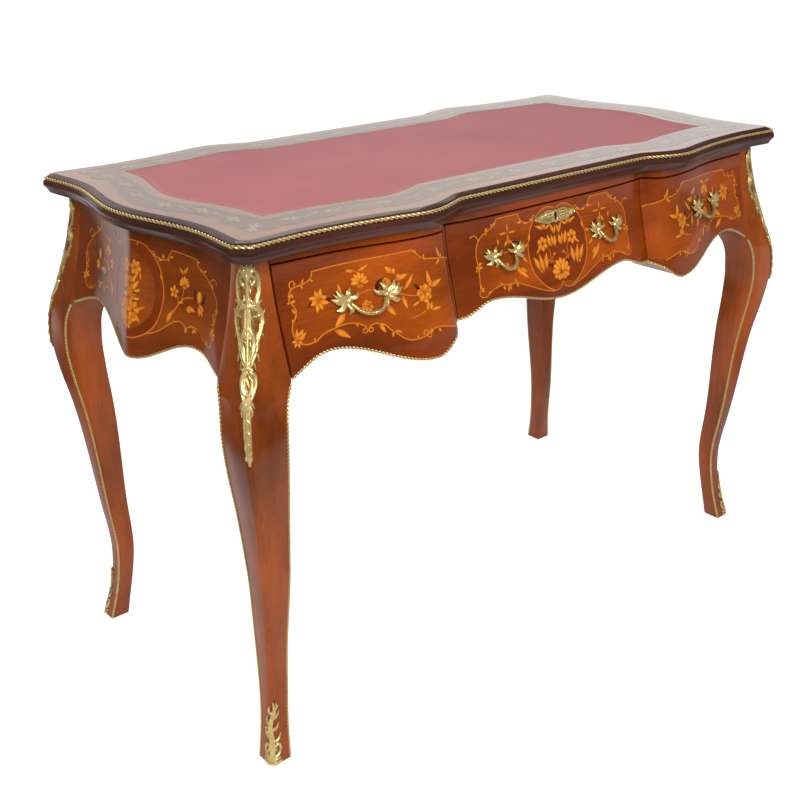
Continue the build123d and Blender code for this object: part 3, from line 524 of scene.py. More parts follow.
def oak_wood():
    """Plain secondary wood, sawn and left unpolished."""
    material, tree, shader = new_material("oak")
    rings = noise(tree, (1.0, 0.08, 1.0), 60.0, 5.0, 0.6)
    fine = noise(tree, (1.0, 0.03, 1.0), 500.0, 3.0, 0.6)
    base = ramp(tree, rings,
                (0.3, (0.24, 0.13, 0.06)), (0.5, (0.40, 0.25, 0.13)), (0.7, (0.50, 0.33, 0.18)))
    streak = ramp(tree, fine, (0.35, (0.6, 0.56, 0.5)), (0.6, (1, 1, 1)))
    tree.links.new(mix(tree, "MULTIPLY", 0.8, base, streak), shader.inputs["Base Color"])
    shader.inputs["Roughness"].default_value = 0.62
    bump(tree, shader, fine, 0.2, 0.0004)
    return material


def leather_hide():
    """Smooth hide: a pebbled grain a fraction of a millimetre wide, faint clouding and a soft sheen."""
    material, tree, shader = new_material("leather")
    place = node(tree, "ShaderNodeTexCoord")
    cells = node(tree, "ShaderNodeTexVoronoi", Scale=900.0)
    tree.links.new(place.outputs["Object"], cells.inputs["Vector"])
    cloud = noise(tree, (1, 1, 1), 6.0, 5.0, 0.6)
    base = ramp(tree, cloud, (0.3, (0.40, 0.070, 0.078)), (0.7, (0.46, 0.092, 0.098)))
    tree.links.new(base, shader.inputs["Base Color"])
    shader.inputs["Roughness"].default_value = 0.5
    shader.inputs["Specular IOR Level"].default_value = 0.45
    bump(tree, shader, cells.outputs["Distance"], 0.25, 0.0003)
    return material


def gold_tooling():
    """Gold lines pressed into the leather, worn in places."""
    material, tree, shader = new_material("gold_tooling")
    wear = noise(tree, (1, 1, 1), 240.0, 4.0, 0.6)
    tree.links.new(ramp(tree, wear, (0.35, (0.26, 0.12, 0.05)), (0.6, (0.50, 0.33, 0.13))),
                   shader.inputs["Base Color"])
    shader.inputs["Roughness"].default_value = 0.4
    shader.inputs["Metallic"].default_value = 0.5
    return material


FRONT_WOOD = veneer("front_veneer", (0.205, 0.034, 0.002), 0, contrast=1.2)
FIELD_WOOD = veneer("field_veneer", (0.300, 0.055, 0.002), 0, contrast=1.2)
END_WOOD = veneer("end_veneer", (0.200, 0.038, 0.003), 1, contrast=1.2)
END_FIELD_WOOD = veneer("end_field_veneer", (0.245, 0.050, 0.003), 1, contrast=1.2)
LEG_WOOD = veneer("leg_veneer", (0.265, 0.054, 0.005), 2, contrast=1.4)
TOP_WOOD = veneer("top_veneer", (0.31, 0.125, 0.040), 0, 0.95, contrast=0.5)
MOULD_WOOD = veneer("moulding_wood", (0.058, 0.017, 0.012), 0, 0.45)
BAND_WOOD = veneer("band_veneer", (0.180, 0.029, 0.002), 0)
TOP_BAND_WOOD = veneer("top_band_veneer", (0.17, 0.072, 0.026), 0, 0.95, contrast=0.5)
INLAY_WOOD = inlay_wood("inlay_wood", (
    (0.0, (0.016, 0.004, 0.002)), (0.3, (0.15, 0.030, 0.003)),
    (0.6, (0.50, 0.135, 0.008)), (0.9, (0.80, 0.27, 0.020))), 0.4)
TOP_INLAY_WOOD = inlay_wood("top_inlay_wood", (
    (0.0, (0.06, 0.03, 0.015)), (0.3, (0.17, 0.09, 0.045)),
    (0.65, (0.30, 0.19, 0.09)), (0.95, (0.42, 0.28, 0.13))), 0.9)
GILT = brass("gilt_brass", (0.84, 0.63, 0.27), 0.24, (0.60, 0.42, 0.16))
PLAIN_BRASS = plain_metal("plain_brass", (0.80, 0.62, 0.32), 0.3)
IRON = plain_metal("iron", (0.30, 0.29, 0.28), 0.4)
# painted shade: a near-black metal that stands for the dark inside the keyhole
KEYHOLE_SHADE = plain_metal("hole_dark", (0.012, 0.010, 0.009), 0.8)
OAK = oak_wood()
LEATHER = leather_hide()
TOOLING = gold_tooling()

# ---------------------------------------------------------------- top
PROFILE = [     # the moulding's section from its lower edge round to the veneer: inset, height
    (8.4, 752.1), (7.4, 752.6), (6.2, 755.6), (3.2, 760.0), (1.3, 762.2), (0.5, 763.4), (0.15, 765.0),
    (0.15, 766.6), (0.6, 768.2), (1.4, 769.6), (1.6, 771.3), (2.2, 771.6), (6.9, 771.6), (7.1, 776.3),
    (8.2, 777.0), (10.4, 777.8), (13.6, 778.9), (15.6, 779.5), (16.9, 779.8), (16.95, 752.1),
]


def mould_point(side, s, inset, z):
    """Point on one long side or end of the moulding ring, set in from the widest line."""
    out = (top_front(s) if side in (at_front, at_back) else top_end(s)) - inset
    return side(s, out, z)


def moulding(name, side, half):
    """The profile carried along one side."""
    s = np.linspace(-half, half, 150)
    grid = np.stack([mould_point(side, s, inset, z) for inset, z in PROFILE])
    shape = Shape()
    shape.solid(grid)
    shape.make(name, "carcase", MOULD_WOOD, "dark_moulding", [name], 28)


def cut_ends(inset):
    """Where a corner's cut meets the front, as x, and the end, as y; it shortens with the inset."""
    clip = CORNER_CLIP - inset * (2 - np.sqrt(2))
    return CORNER_X - inset - clip, CORNER_Y - inset - clip


def corner_path(inset):
    """Plan line of a corner block at an inset: along the front, across the cut, along the end."""
    end_x, end_y = cut_ends(inset)
    x = np.linspace(BLOCK_X0 + 0.25, end_x, 4)
    y = np.linspace(end_y, BLOCK_Y0 + 0.25, 4)
    front = np.stack([x, top_front(x) - inset], -1)
    end = np.stack([top_end(y) - inset, y], -1)
    return np.concatenate([front, end])


def corner_blocks():
    """The profile carried round each cut corner."""
    shape = Shape()
    for sx in (-1, 1):
        for sy in (-1, 1):
            rows = [np.column_stack([corner_path(inset) * (sx, sy), np.full(8, z)]) for inset, z in PROFILE]
            shape.solid(np.stack(rows))
    shape.make("top_corner_blocks", "carcase", MOULD_WOOD, "dark_moulding", ["top_corner_blocks"], 28)


PER_SIDE, PER_CORNER = (160, 90), 6     # points along the top's front and end, and across a corner


def closed_line(front, right, corner):
    """Front and right side, their copies turned half round, and straight steps across the corners."""
    sides = [front, right, -front, -right]
    line = []
    for one, following in zip(sides, sides[1:] + sides[:1]):
        t = np.linspace(0, 1, corner + 2)[1:-1, None]
        line += [one, one[-1] * (1 - t) + following[0] * t]
    return np.concatenate(line)


def ring(inset, per_side=PER_SIDE, corner=PER_CORNER):
    """Closed plan line of the top at an inset, corner cuts included."""
    end_x, end_y = cut_ends(inset)
    x, y = np.linspace(-end_x, end_x, per_side[0]), np.linspace(-end_y, end_y, per_side[1])
    front = np.stack([x, -(top_front(x) - inset)], -1)
    return closed_line(front, np.stack([top_end(y) - inset, y], -1), corner)


def leather_line(grow):
    """Closed edge line of the leather, with as many points on each side as the outer ring has."""
    half_x, half_y = LEATHER_HALF_X + grow, LEATHER_HALF_Y + grow
    corner_y = half_y + LEATHER_SWELL * swell(half_x)
    x, y = np.linspace(-half_x, half_x, PER_SIDE[0]), np.linspace(-corner_y, corner_y, PER_SIDE[1])
    bell = np.where(np.abs(y) < LEATHER_BELL, np.cos(pi * y / (2 * LEATHER_BELL)) ** 2, 0.0)
    front = np.stack([x, -(half_y + LEATHER_SWELL * swell(x))], -1)
    right = np.stack([half_x + LEATHER_BOW * bell, y], -1)
    return closed_line(front, right, PER_CORNER) + (0, LEATHER_BACK)


def flat(line, z):
    """A plan line at one height."""
    return np.column_stack([line, np.full(len(line), z)])


def top_panel():
    """Rings from the recess for the leather out to the edge and down, closed by two flat faces."""
    inner, outer = leather_line(0.15), ring(MOULD_WIDTH)
    rows = [flat(inner, HEIGHT - LEATHER_THICK)]
    rows += [flat(inner * (1 - t) + outer * t, TOP_Z) for t in np.linspace(0, 1, 14)]
    rows += [flat(outer, CARCASE)]
    grid = np.stack(rows)
    count = grid.shape[1]
    wall = quads(len(rows), count, False, True)
    shape = Shape()
    floor = np.arange(count)[None]
    under = floor + (len(rows) - 1) * count
    shape.add(grid, [wall, floor, under[:, ::-1]])
    return shape.make("top_panel_veneered", "carcase", TOP_WOOD, "veneer", ["top_panel"])


def leather():
    """The lining, its edge rolled down into the recess, and two tooled lines near the edge."""
    edge = leather_line(0.0)
    rows = [flat(edge, HEIGHT - LEATHER_THICK + 0.05)]
    rows += [flat(leather_line(-inset), HEIGHT - LEATHER_LOW - drop)
             for inset, drop in ((0.05, 0.5), (0.4, 0.2), (1.0, 0), (10, 0), (40, 0), (90, 0), (140, 0))]
    grid = np.stack(rows)
    count = grid.shape[1]
    shape = Shape()
    last = np.arange(count)[None] + (len(rows) - 1) * count
    shape.add(grid, [quads(len(rows), count, False, True)[:, ::-1], last, np.arange(count)[None, ::-1]])
    shape.make("leather_lining", "carcase", LEATHER, "leather", ["leather_inset"])
    lines = Shape()
    for inset, wide in ((4.0, 1.6), (8.0, 0.8)):
        edges = (leather_line(-inset), leather_line(-inset - wide))
        band = np.stack([flat(line, HEIGHT - LEATHER_LOW + 0.07) for line in edges])
        lines.sheet(np.concatenate([band, band[:, :1]], 1), (0, 0, 1))
    lines.make("leather_tooling", "carcase", TOOLING, "gilt_brass")


# ---------------------------------------------------------------- rope mouldings
def rope(line, ref, radius, lay, per_lay, around, closed=False):
    """Two strands laid round each other: the outline of two discs, turned evenly along the line, with a
    tone that paints shade into the grooves between the strands.
    """
    if closed:
        line = np.concatenate([line, line[:1]])
    run = run_along(line)
    turns = max(int(round(run[-1] / lay)), 1)
    t = np.linspace(0, run[-1], turns * per_lay + 1)
    centre = np.stack([np.interp(t, run, line[:, k]) for k in range(3)], -1)
    ahead = heading_of(centre)
    if closed:
        centre, ahead, t = centre[:-1], ahead[:-1], t[:-1]
    one, two = across(ahead, ref)
    theta = np.linspace(0, 2 * pi, around, endpoint=False)[:, None]
    phi = theta - pi * t[None] / lay
    offset, strand = 0.42 * radius, 0.58 * radius
    r = offset * np.abs(np.cos(phi)) + np.sqrt(strand ** 2 - (offset * np.sin(phi)) ** 2)
    grid = centre + r[..., None] * (np.cos(theta)[..., None] * one + np.sin(theta)[..., None] * two)
    # painted shade: the tone falls where the outline dips between the two strands
    tone = np.clip((r / radius - 0.45) / 0.35, 0.3, 1)
    return grid, tone


def top_bead():
    """The rope carried once round the top, on the moulding's shelf."""
    shape = Shape()
    line = flat(ring(BEAD_INSET, (400, 200), 12), BEAD_Z)
    grid, tone = rope(line, (0, 0, 1), BEAD_R, BEAD_LAY, 7, 12, True)
    shape.solid(grid, wrap_cols=True, tone=tone)
    shape.make("rope_bead", "carcase", GILT, "gilt_brass", ["top_rope_bead"], 60)


# ---------------------------------------------------------------- bombe boards
def steps(s0, s1, wide):
    """Places along a board, about a set width apart."""
    return np.linspace(s0, s1, int((s1 - s0) / wide) + 2)


def with_cut(s, half):
    """The places with a close pair at each end of a cut in the middle, and which of them lie in the cut."""
    s = np.unique(np.concatenate([s, [-half - SLIP, -half, half, half + SLIP]]))
    return s, np.abs(s) < half + SLIP / 2


def board(name, body, side, reach, low, s0, s1, inside, top, material, notch=None):
    """Face from the lower edge up to the top, following reach, and a flat back.

    A notch in the back's upper edge is given as half its width, its depth and its height.
    """
    s = steps(s0, s1, 2.5)
    if notch:
        s, cut = with_cut(s, notch[0])
    base = low(s) + BOARD_CLEAR
    rise = np.linspace(0, 1, 56)[:, None]
    z = base + (top - base) * rise
    face = side(s[None], reach(s[None], z), z)
    flush, level = np.full_like(s, inside), np.full_like(s, top)
    back = [(flush, level), (flush, base)]
    if notch:
        deep, foot = np.where(cut, inside + notch[1], inside), level - notch[2]
        back = [(deep, level), (deep, foot + np.where(cut, 0, SLIP)), (flush, foot), (flush, base)]
    shape = Shape()
    shape.solid(np.concatenate([face, np.stack([side(s, depth, z) for depth, z in back])]))
    return shape.make(name + "_veneered", body, material, "veneer", [name])


def edge_rope(shape, side, reach, low, s0, s1):
    """Rope strip along a lower edge."""
    s = steps(s0, s1, 2.0)
    z = low(s) - STRIP_LOW
    line = side(s, reach(s, z) - STRIP_SUNK, z)
    grid, tone = rope(line, outward(side), STRIP_R, STRIP_LAY, 7, 10)
    shape.solid(grid, tone=tone)


def apron():
    """The end panels, the three boards at the back and the rope strips under them."""
    for name, side in (("end_panel_left", at_left), ("end_panel_right", at_right)):
        board(name, "carcase", side, end_reach, end_low, -POST_Y, POST_Y, INSIDE_X, CARCASE, END_WOOD)
    for name, s0, s1 in (("back_apron_right", -POST_X, -CENTRE_HALF - 0.2),
                         ("back_apron_centre", -CENTRE_HALF + 0.2, CENTRE_HALF - 0.2),
                         ("back_apron_left", CENTRE_HALF + 0.2, POST_X)):
        board(name, "carcase", at_back, front_reach, front_low, s0, s1, INSIDE_Y, CARCASE, FRONT_WOOD)
    ropes = Shape()
    for side in (at_left, at_right):
        edge_rope(ropes, side, end_reach, end_low, -POST_Y + 0.5, POST_Y - 0.5)
    for s0, s1 in ((-POST_X, -CENTRE_HALF), (-CENTRE_HALF, CENTRE_HALF), (CENTRE_HALF, POST_X)):
        edge_rope(ropes, at_back, front_reach, front_low, s0 + 0.5, s1 - 0.5)
    ropes.make("apron_ropes", "carcase", GILT, "gilt_brass", ["apron_rope_strips"], 60)


DRAWERS = (
    ("drawer_left", -SIDE_OUT, -SIDE_IN),
    ("drawer_centre", -(CENTRE_HALF - GAP / 2), CENTRE_HALF - GAP / 2),
    ("drawer_right", SIDE_IN, SIDE_OUT),
)


def drawer_fronts():
    """The three fronts, the middle one with a notch for the lock, and their rope strips."""
    for body, s0, s1 in DRAWERS:
        notch = (LOCK_HALF, LOCK_DEEP, LOCK_HIGH) if body == "drawer_centre" else None
        board(body + "_front", body, at_front, front_reach, front_low, s0, s1, INSIDE_Y, FRONT_TOP,
              FRONT_WOOD, notch)
        ropes = Shape()
        edge_rope(ropes, at_front, front_reach, front_low, s0 + 0.5, s1 - 0.5)
        ropes.make(body + "_rope", body, GILT, "gilt_brass", [body + "_rope_strip"], 60)


def rail():
    """The rail over the drawers, its face following the swells of the front, with a pocket for the bolt."""
    s, cut = with_cut(steps(-POST_X, POST_X, 2.5), POCKET[0] / 2)
    z = np.linspace(RAIL_Z, CARCASE, 8)[:, None]
    face = at_front(s[None], front_reach(s[None], z), z)
    near, far = (INSIDE_Y + LOCK_DEEP / 2 + turn * POCKET[1] / 2 for turn in (-1, 1))
    up, slip = RAIL_Z + np.where(cut, POCKET[2], 0), np.where(cut, 0, SLIP)
    back = [(INSIDE_Y, CARCASE), (INSIDE_Y, RAIL_Z), (near, RAIL_Z), (near + slip, up), (far - slip, up),
            (far, RAIL_Z)]
    shape = Shape()
    shape.solid(np.concatenate([face, np.stack([at_front(s, depth, z) for depth, z in back])]))
    shape.make("front_rail_veneered", "carcase", FRONT_WOOD, "veneer", ["front_rail"])


# ---------------------------------------------------------------- legs
def leg_section(z):
    """Plan line of a leg at height z in the +X +Y quarter, from the inner corner round and back."""
    outer_x, outer_y = leg_x(z), leg_y(z)
    inner_x = np.where(z > POST_Z, POST_X, outer_x - leg_thick(z))
    inner_y = np.where(z > POST_Z, POST_Y, outer_y - leg_thick(z))
    r, cut = EDGE_R, ARRIS
    points = [
        (inner_x + r, inner_y), ((inner_x + outer_x) / 2, inner_y), (outer_x - r, inner_y),
        (outer_x - 0.3 * r, inner_y + 0.3 * r), (outer_x, inner_y + r), (outer_x, (inner_y + outer_y) / 2),
        (outer_x, outer_y - cut - r), (outer_x - 0.25 * r, outer_y - cut + 0.1),
        (outer_x - cut / 2, outer_y - cut / 2), (outer_x - cut + 0.1, outer_y - 0.25 * r),
        (outer_x - cut - r, outer_y), ((inner_x + outer_x) / 2, outer_y),
        (inner_x + r, outer_y), (inner_x + 0.3 * r, outer_y - 0.3 * r), (inner_x, outer_y - r),
        (inner_x, (inner_y + outer_y) / 2), (inner_x, inner_y + r), (inner_x + 0.3 * r, inner_y + 0.3 * r),
    ]
    return np.stack([np.stack([x, y, z], -1) for x, y in points])


QUARTERS = (("back_right", 1, 1), ("back_left", -1, 1), ("front_right", 1, -1), ("front_left", -1, -1))


def legs():
    """Sections stacked from the floor to the top of the post."""
    z = np.concatenate([np.linspace(0.0, POST_Z, 150), np.linspace(POST_Z + 0.05, CARCASE, 50)])
    ropes = Shape()
    for name, sx, sy in QUARTERS:
        flip = np.array([sx, sy, 1.0])
        shape = Shape()
        shape.solid(leg_section(z) * flip)
        shape.make("leg_" + name + "_veneered", "carcase", LEG_WOOD, "veneer", ["leg_" + name], 25)
        h = np.linspace(0.5, POST_Z - 4.6, 300)
        for line in (np.stack([leg_x(h) - leg_thick(h) + 0.6, leg_y(h) - 0.6, h], -1),
                     np.stack([leg_x(h) - 0.6, leg_y(h) - leg_thick(h) + 0.6, h], -1)):
            grid, tone = rope(line * flip, (sx, sy, 0), LEG_STRIP_R, STRIP_LAY, 6, 9)
            ropes.solid(grid, tone=tone)
    ropes.make("leg_ropes", "carcase", GILT, "gilt_brass", ["leg_rope_strips"], 60)


# ---------------------------------------------------------------- marquetry
class Inlay:
    """Draws inlaid woods on one surface: place(s, t, lift) gives the points, flips the mirrored copies."""

    def __init__(self, place, outward, flips):
        self.place, self.outward, self.flips = place, outward, flips
        self.wood, self.ground, self.dark, self.level = Shape(), Shape(), Shape(), 0

    def put(self, s, t, tone, once=False):
        """Lays one piece and its mirrored copies, each piece a hair higher than the one before."""
        self.level = (self.level + 1) % LEVELS
        for fs, ft in self.flips[:1] if once else self.flips:
            lift = INLAY + LEVEL_STEP * self.level
            self.wood.sheet(self.place(fs * s, ft * t, lift), self.outward, tone)

    def field(self, rows, count, dark=False):
        """Ground between two lines, each row a point of the one and a point of the other."""
        line = curve(rows, count)
        v = np.linspace(0, 1, 26)[:, None]
        s, t = line[:, 0] * (1 - v) + line[:, 2] * v, line[:, 1] * (1 - v) + line[:, 3] * v
        for fs, ft in self.flips:
            shape, lift = (self.dark, BAND) if dark else (self.ground, FIELD)
            shape.sheet(self.place(fs * s, ft * t, lift), self.outward)

    def string(self, points, wide, ends=(1.0, 1.0), tone=0.72):
        """A ribbon along a smooth line, its width running from one end's share to the other's."""
        line = curve(points, max(int(lengths(points).sum() / 1.8), 6))
        ahead = heading_of(line)
        half = 0.42 * wide * np.linspace(*ends, len(line))
        v = np.array([-1.0, 0.0, 1.0])[:, None]
        self.put(line[:, 0] - v * half * ahead[:, 1], line[:, 1] + v * half * ahead[:, 0],
                 np.broadcast_to(tone - 0.16 * np.abs(v), (3, len(line))))

    def leaf(self, s, t, angle, length, wide, bend, tone=0.84, blunt=False, once=False):
        """The midline turns evenly from the base; half the width is a sine, fuller towards a blunt tip."""
        u = np.linspace(0, 1, 11)
        heading = np.radians(angle + bend * u)
        step = length / 10
        mid_s = s + np.concatenate([[0], np.cumsum(np.cos(heading[1:]) * step)])
        mid_t = t + np.concatenate([[0], np.cumsum(np.sin(heading[1:]) * step)])
        half = wide / 2 * (np.sin(pi * u ** (1.5 if blunt else 0.8)) ** (0.7 if blunt else 1.0) + 0.05)
        v = np.linspace(-1, 1, 5)[:, None]
        shade = tone - 0.34 * v ** 4 - 0.40 * (1 - u) ** 4 - 0.12 * (v > 0.4)
        self.put(mid_s - v * half * np.sin(heading), mid_t + v * half * np.cos(heading), shade, once)

    def leaves(self, s, t, *parts):
        """Several leaves from one point: angle, length, width and bend of each."""
        for angle, length, wide, bend in parts:
            self.leaf(s, t, angle, length, wide, bend)

    def disc(self, s, t, r, tone, rim=0.3, once=False):
        """A round piece, darker to its rim."""
        turn = np.linspace(0, 2 * pi, 13)
        share = np.array([0.03, 0.6, 1.0])[:, None]
        self.put(s + share * r * np.cos(turn), t + share * r * np.sin(turn),
                 np.broadcast_to(tone - rim * share ** 2, (3, 13)), once)

    def flower(self, s, t, r, petals, turn, wide, tone=0.84, once=False):
        """A ring of blunt petals round a small dark-rimmed disc."""
        for k in range(petals):
            self.leaf(s, t, turn + 360 * k / petals, r, r * wide, 6, tone, True, once)
        self.disc(s, t, r * 0.24, 0.45, 0.3, once)

    def star(self, s, t, r, turn):
        """Eight pointed petals by turns long and short."""
        for k in range(8):
            share, bend = (1.0, 8) if k % 2 else (0.86, -8)
            self.leaf(s, t, turn + 45 * k, r * share, r * 0.5, bend, 0.86)
        self.disc(s, t, r * 0.2, 0.5)

    def rose(self, s, t, r, turn, once=False):
        """Rings of petals, each smaller than the one under it."""
        for share, petals, shift in ((1.0, 7, 0), (0.7, 6, 25), (0.42, 5, 50)):
            for k in range(petals):
                self.leaf(s, t, turn + shift + 360 * k / petals, r * share, r * share * 0.85, 12,
                          0.86 if k % 2 else 0.72, True, once)

    def carnation(self, s, t, angle, r):
        """A fan of toothed petals over a small cup: two rows, the outer one spread almost level."""
        for spread, count, share in ((84, 7, 1.0), (58, 5, 0.66)):
            for a in np.linspace(-spread, spread, count):
                length = r * share * (1 - 0.12 * abs(a) / spread)
                self.leaf(s, t, angle + a, length, r * 0.44, 5 * np.sign(a), 0.88, True)
        for a in (-34, 0, 34):
            self.leaf(s, t, angle + 180 + a, r * 0.5, r * 0.4, 0, 0.7, True)

    def tulip(self, s, t, angle, r):
        """Three long petals folded together, the middle one paler."""
        for a, tone in ((-24, 0.72), (24, 0.8), (0, 0.9)):
            self.leaf(s, t, angle + a, r, r * 0.5, -1.5 * a, tone, True)

    def shade(self, s, t, angle, length, wide, bend=0.0):
        """Scorched wood beside a flower."""
        self.leaf(s, t, angle, length, wide * 0.5, bend, 0.28)

    def curl(self, s, t, angle, size, turns, side, wide):
        """A spiral that leaves a point along the angle, winds to one side and ends in a dot."""
        u = np.linspace(0, 1, 16)
        a = radians(angle)
        centre = s - side * np.sin(a) * size, t + side * np.cos(a) * size
        phi = a - side * pi / 2 + side * 2 * pi * turns * u
        r = size * (1 - 0.68 * u)
        line = np.stack([centre[0] + r * np.cos(phi), centre[1] + r * np.sin(phi)], -1)
        self.string(line, wide, (1.0, 0.85), 0.74)
        self.disc(line[-1, 0], line[-1, 1], wide * 0.75, 0.79, 0.15)

    def finish(self, name, body, ground_wood):
        """Makes the inlay, the field under it and the darker band."""
        self.wood.make(name + "_inlay", body, INLAY_WOOD, "veneer", (), 80)
        self.ground.make(name + "_field", body, ground_wood, "veneer", (), 80)
        if self.dark.points:
            self.dark.make(name + "_band", body, BAND_WOOD, "veneer", (), 80)


def side_drawing(ink):
    """Cartouche with a star, a carnation, a tulip and a rose, as on the drawer left of the centre."""
    ink.field([(-480, 654, -480, 650), (-477.5, 660, -477.5, 644), (-471, 667, -474, 639),
               (-469, 676, -470, 636), (-475, 688, -466, 634.5), (-475.5, 696, -461, 633),
               (-468, 703, -455, 633.4), (-455, 706, -449, 635), (-445, 708.5, -443, 637.5),
               (-439, 712, -437, 640), (-436, 719, -431, 642), (-420, 719.5, -419, 644),
               (-405, 720, -405, 646), (-388, 720.6, -388, 645), (-377, 721, -376, 639),
               (-371, 721, -371, 634), (-366, 721.2, -366, 638), (-357, 721.5, -357, 639),
               (-348, 721.8, -348, 636), (-338, 722, -338, 626), (-326, 722.4, -326, 617),
               (-312, 722.8, -312, 610), (-300, 723, -300, 609), (-291, 723.4, -290, 611),
               (-285, 718, -284, 614), (-278, 711.5, -277, 617), (-266, 708, -266, 618),
               (-252, 705.5, -252, 615.5), (-240, 704, -240, 612.5), (-226, 698, -228, 611),
               (-213, 693, -213, 612)], 150)
    ink.string([(-438, 719), (-400, 720.3), (-330, 722.2), (-290, 723.4)], 2.1)
    ink.string([(-437, 719.5), (-440, 712), (-446, 708), (-458, 705.5), (-470, 703), (-475, 697),
                (-476, 690), (-471, 682), (-469, 676), (-470.5, 670), (-475.5, 664), (-479, 658),
                (-480, 650), (-478, 643), (-473, 637), (-467, 634), (-460, 633)], 2.4)
    ink.curl(-470, 703, 150, 6.5, 0.7, -1, 2.2)
    ink.leaves(-456, 706, (40, 9, 3, 20), (-60, 6, 3, -20))
    ink.leaves(-442, 710, (-45, 6, 3, 30))
    ink.leaves(-474, 698, (-20, 8, 3.4, -60), (-75, 6, 2.6, -30))
    ink.leaves(-475, 688, (-10, 8, 4, 20), (200, 5, 3, 0))
    ink.leaves(-470, 672, (135, 9, 4, -30), (235, 7, 3, 30))
    ink.leaves(-478, 661, (60, 7, 3, 40))
    ink.leaves(-476, 640, (52, 17, 8, -10), (22, 17, 7, 14), (88, 15, 6, -12), (-28, 8, 5, 0),
               (-78, 9, 5, 0), (-128, 9, 5, 0), (178, 8, 4, 0))
    ink.string([(-460, 633), (-450, 634), (-438, 640), (-420, 644), (-405, 646), (-390, 645), (-380, 641.5),
                (-374, 637), (-371.5, 631)], 2.3, (1.0, 0.9))
    ink.curl(-372, 633, -95, 4.6, 0.72, -1, 1.9)
    ink.curl(-371, 633, -85, 4.6, 0.72, 1, 1.9)
    ink.leaves(-452, 634.5, (65, 5, 3, 0))
    ink.leaves(-387, 644.5, (-65, 6, 3, 10))
    ink.string([(-371.5, 632), (-366, 638), (-357, 639), (-348, 636), (-340, 628), (-335, 624), (-328, 618),
                (-320, 612), (-310, 609), (-300, 609), (-292, 610), (-286, 613), (-280, 616), (-270, 618),
                (-255, 616), (-240, 612), (-233, 610)], 2.2)
    ink.leaves(-355, 638, (-50, 15, 6, -18), (-8, 8, 4, -30))
    ink.leaves(-336, 626, (-118, 9, 4, 20), (-8, 13, 3.6, -24))
    ink.leaves(-302, 609, (108, 5, 3, 0))
    ink.curl(-286, 612, 62, 5.6, 0.62, 1, 2.2)
    ink.curl(-288, 612, -98, 5.0, 0.66, 1, 2.2)
    ink.leaves(-284, 613, (12, 8, 4, 20), (40, 7, 4, 20), (-160, 7, 4, 10))
    ink.leaves(-268, 617.5, (-50, 8, 4, -20))
    ink.string([(-291, 723), (-286, 719), (-280, 713), (-272, 709), (-260, 707), (-250, 705.3), (-240, 704),
                (-226, 698.5), (-212.5, 693)], 2.3)
    ink.curl(-286, 718, 40, 3.4, 0.55, 1, 1.8)
    ink.leaves(-275, 710, (70, 6, 3, 0))
    ink.leaves(-245, 704.5, (118, 17, 5, -14), (-140, 12, 4, -10), (60, 7, 3.4, 20))
    # flowers
    ink.shade(-441, 682, 205, 13, 9)
    ink.shade(-424, 681, -8, 14, 9)
    ink.star(-434, 682, 15.5, 20)
    ink.string([(-388, 712), (-380, 711), (-374, 707), (-370, 701)], 1.6)
    ink.leaves(-376, 708, (165, 13, 4.4, 8))
    ink.leaves(-374, 708, (12, 19, 5.2, 14))
    ink.carnation(-371, 693, 90, 14)
    ink.string([(-378, 677), (-368, 681), (-358, 682), (-349, 679)], 1.7)
    ink.leaf(-402, 680, 84, 17, 6.5, 12)
    ink.shade(-350, 680, 78, 20, 12, -55)
    ink.shade(-327, 679, 100, 16, 10, 35)
    ink.tulip(-335, 672, 90, 22)
    ink.leaf(-325, 697, 118, 14, 9, 20)
    ink.leaf(-324, 697, 70, 8, 7, 0)
    ink.leaf(-324, 690, 8, 22, 8, 6)
    ink.leaf(-320, 690, 52, 8, 6, 0)
    ink.leaf(-313, 674, 38, 27, 6, 14)
    ink.string([(-318, 671), (-306, 667), (-294, 664.5)], 2.0, (1.0, 0.7))
    ink.leaf(-314, 669, -92, 19, 6.5, 24)
    ink.shade(-287, 672, 150, 12, 9, -30)
    ink.rose(-281, 665, 12.5, 15)
    ink.leaf(-290, 657, 208, 14, 4, -16)
    ink.leaf(-272, 671, 82, 22, 8, 14)
    ink.leaf(-271, 671, 22, 23, 8, -8)
    ink.leaf(-273, 672, 50, 10, 6, 0)
    ink.string([(-306, 637.5), (-292, 640), (-282, 643), (-270, 643), (-260, 641)], 2.4, (0.5, 1.2))
    ink.leaf(-283, 642, 48, 14, 6.5, 30)
    ink.leaf(-276, 641, 76, 12, 6, -10)
    ink.leaf(-276, 642, 8, 18, 5, -8)
    ink.rose(-366, 662, 8.5, 40)
    ink.leaf(-339, 660, -62, 18, 9, 10)
    ink.leaf(-398, 660, 222, 24, 10, -12)
    ink.leaf(-421, 642, -20, 27, 9, -22)


